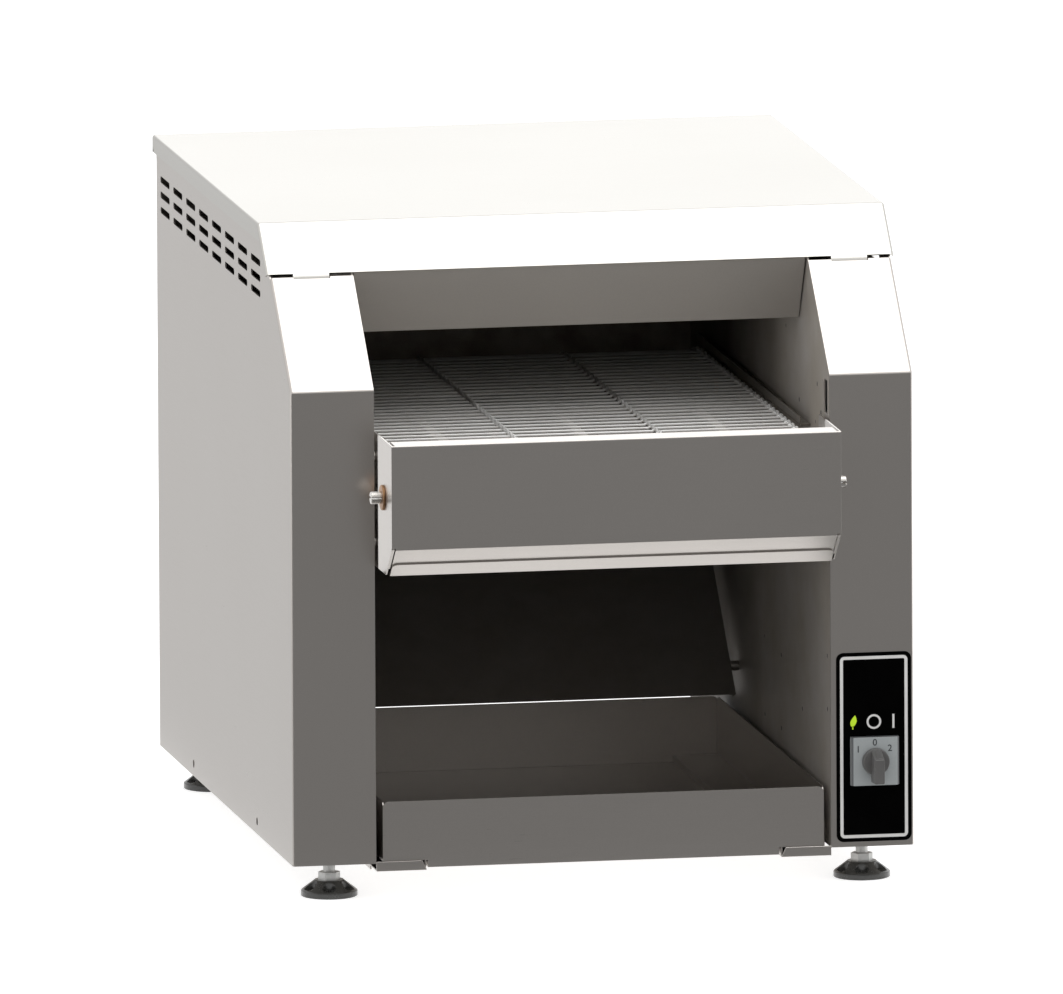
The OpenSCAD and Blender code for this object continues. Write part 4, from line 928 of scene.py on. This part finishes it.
# Dark discs in the holes: painted shade for their dark inside.
bm = bmesh.new()
for side in (-1, 1):
    for y, z, radius in SHADE_DISC_HOLES:
        middle = at(side * (WALL_FACE + SHADE_DISC_DEPTH + WALL_SHEET / 2), y, z)
        turn = Matrix.Translation(middle) @ Matrix.Rotation(math.pi / 2, 4, "Y")
        bmesh.ops.create_cone(bm, cap_ends=True, segments=24, radius1=radius * MM, radius2=radius * MM,
                              depth=WALL_SHEET * MM, matrix=turn)
piece("hole_shade_discs", bm, "cabinet", switch_plastic)
print("plugs:", 2 * len(SHADE_DISC_HOLES))

# %% [markdown]
# The back panel is held by button-head screws. A screw is a lathe shape: its outline, with
# the socket in its head, is spun once round.

# %% Back panel screws
SCREW_X = 298.5
SCREW_Z = (60, 220.5, 381, 541.5)
SCREW_OUTLINE = [(0, 0.9), (1.5, 0.9), (1.6, 2.2), (2.2, 2.25), (3.2, 1.7), (3.8, 0.9), (4, 0.2), (4, 0),
                 (2, 0), (2, -7), (0, -7)]

bm = bmesh.new()
for x in (-SCREW_X, SCREW_X):
    for z in SCREW_Z:
        verts = [bm.verts.new(at(x + r, 740 + out, z)) for r, out in SCREW_OUTLINE]
        edges = [bm.edges.new(pair) for pair in zip(verts, verts[1:])]
        bmesh.ops.spin(bm, geom=verts + edges, cent=at(x, 740, z), axis=(0, 1, 0), angle=2 * math.pi,
                       steps=24, use_merge=True)
bmesh.ops.remove_doubles(bm, verts=bm.verts, dist=1e-6)
bmesh.ops.recalc_face_normals(bm, faces=bm.faces)
screws = piece("panel_screws", bm, "cabinet", screw_steel, ["back_panel_screws"], 40)
print("screws:", len(screws.data.polygons), "faces")

# %% [markdown]
# What is hidden, or right as it is, keeps its CAD shape and only gets its finish.

# %% Finishes for the CAD shapes that stay
CAD_FINISHES = {
    plain_steel: ["floor_channels"],
    oven_sheet_steel: ["rear_shield"],
    under_belt_steel: ["lower_reflector", "crumb_shield", "belt_slides", "belt_cross_bars"],
    reflector_steel: ["upper_reflector"],
    heater_steel: ["upper_heaters", "lower_heaters"],
    glazed_ceramic: ["heater_insulators", "terminal_block", "safety_thermostat"],
    bushing_bronze: ["drive_bushings"],
    shaft_steel: ["idler_sprockets", "drive_shaft", "drive_sprockets", "shaft_coupling", "motor_shaft"],
    plated_steel: ["hood_hinge_leaves", "fixed_hinge_leaves", "hinge_pins", "motor_standoffs",
                   "foot_inserts"],
    gearbox_cast: ["gearbox"],
    motor_paint: ["motor"],
    switch_plastic: ["switch_body"],
}
for material, nodes in CAD_FINISHES.items():
    for node in nodes:
        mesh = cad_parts[node].data
        mesh.materials.clear()
        mesh.materials.append(material)
finished = {node for nodes in CAD_FINISHES.values() for node in nodes}
undressed = [n for n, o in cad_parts.items() if not o.hide_render and n not in finished]
print("CAD shapes without a finish:", undressed)

# %% [markdown]
# Light: metal shows its surroundings, so the studio is built for what it reflects. The
# world is white to the camera and to reflections, with a softer share of light on matt
# surfaces. A wide soft lamp hangs above. Cards that only reflections can see do the rest.
# Large grey ones darken the fronts and the left side, as flags do in a studio, and a
# bright one behind is mirrored by the hood's top. Small ones between the posts light the
# flanges that face down or inwards, and one in the oven lights the belt.

# %% World and lamp
AMBIENT = 0.8

world = bpy.data.worlds.new("studio")
world.use_nodes = True
bpy.context.scene.world = world
sky = Network(world.node_tree)
rays = sky.add("ShaderNodeLightPath", output="Is Camera Ray")
seen = rays + rays.also("Is Glossy Ray") + rays.also("Is Transmission Ray")
background = sky.nodes["Background"]
sky.feed(background.inputs["Color"], (1, 1, 1))
sky.feed(background.inputs["Strength"], seen * (1 - AMBIENT) + AMBIENT)


def soft_lamp(name, place, target, width, height, power):
    lamp = bpy.data.lights.new(name, "AREA")
    lamp.shape = "RECTANGLE"
    lamp.size, lamp.size_y = width, height
    lamp.energy = power
    made = bpy.data.objects.new(name, lamp)
    turn = (Vector(target) - Vector(place)).to_track_quat("-Z", "Y").to_matrix().to_4x4()
    made.matrix_world = Matrix.Translation(place) @ turn
    bpy.context.scene.collection.objects.link(made)
    return made


soft_lamp("top_softbox", (0.4, -0.4, 3.0), (0.1, 0, 0.3), 2.4, 2.4, 27)

# %% Floor and cards
def stage_plane(name, centre, size, facing, material):
    bm = bmesh.new()
    bmesh.ops.create_grid(bm, x_segments=1, y_segments=1, size=0.5)
    bmesh.ops.scale(bm, verts=bm.verts, vec=(*size, 1))
    mesh = bpy.data.meshes.new(name)
    bm.to_mesh(mesh)
    bm.free()
    mesh.materials.append(material)
    made = bpy.data.objects.new(name, mesh)
    turn = Vector(facing).to_track_quat("Z", "Y").to_matrix().to_4x4()
    made.matrix_world = Matrix.Translation(centre) @ turn
    bpy.context.scene.collection.objects.link(made)
    made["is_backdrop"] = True
    return made


FLOOR_GLOW = 0.75

floor_paint = Finish("floor_paint", base_color=(0.66, 0.66, 0.66), roughness=0.9)
rays = floor_paint.add("ShaderNodeLightPath", output="Is Camera Ray")
seen = rays + rays.also("Is Glossy Ray") + rays.also("Is Transmission Ray")
glow = floor_paint.add("ShaderNodeEmission", {}, {"Color": (1, 1, 1), "Strength": seen * FLOOR_GLOW})
matt = Signal(floor_paint, floor_paint.shader.outputs[0])
both = floor_paint.add("ShaderNodeAddShader", {}, {0: glow, 1: matt})
floor_paint.feed(floor_paint.nodes["Material Output"].inputs["Surface"], both)
stage_plane("floor", (0, 0, 0), (60, 60), (0, 0, 1), floor_paint.material)


def card(name, brightness, centre, size, facing):
    """A card that only reflections see, and only from the side that it faces."""
    paint = Finish(name + "_paint")
    light = paint.add("ShaderNodeEmission", {}, {"Color": (1, 1, 1), "Strength": brightness})
    behind = paint.add("ShaderNodeNewGeometry", output="Backfacing")
    clear = paint.add("ShaderNodeBsdfTransparent")
    paint.feed(paint.nodes["Material Output"].inputs["Surface"],
               paint.add("ShaderNodeMixShader", {}, {0: behind, 1: light, 2: clear}))
    made = stage_plane(name, centre, size, facing, paint.material)
    made.visible_camera = made.visible_diffuse = made.visible_shadow = False
    made.visible_transmission = made.visible_volume_scatter = False
    return made


FRONT_SHADE = 0.26
SIDE_SHADE = 0.75

card("front_card", FRONT_SHADE, (0, -1.6, 0.5), (6.0, 1.0), (0, 1, 0))
card("front_floor_card", FRONT_SHADE, (0, -0.99, 0.001), (6.0, 1.22), (0, 0, 1))
card("bay_card", 1.27, at(20, -1, 125), (0.45, 0.19), (0, -1, 0))
card("post_card", 1.0, at(-267, -1, 365), (0.086, 0.15), (0, -1, 0))
card("end_card", 0.75, at(215, -1, 385), (0.05, 0.085), (0, -1, 0))
card("mouth_card", 1.6, at(20, -1, 474), (0.49, 0.092), (0, -1, 0))
card("oven_card", 0.5, at(0, 300, 470), (0.36, 0.1), (0, -1, 0))
card("left_card", SIDE_SHADE, (-1.24, 1.0, 0.6), (1.8, 1.2), (0, -1, 0))
card("left_floor_card", SIDE_SHADE, (-1.24, 0.3, 0.001), (1.8, 1.4), (0, 0, 1))
card("back_card", 1.5, (0.6, 2.6, 1.9), (5.0, 2.2), (0, -1, 0))
print("stage is set")

# %% [markdown]
# The last step prints the size of the box of everything shown.

# %% Size and finish
low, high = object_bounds()
print("visual box in millimetres:", [round(1000 * v, 1) for v in high - low])
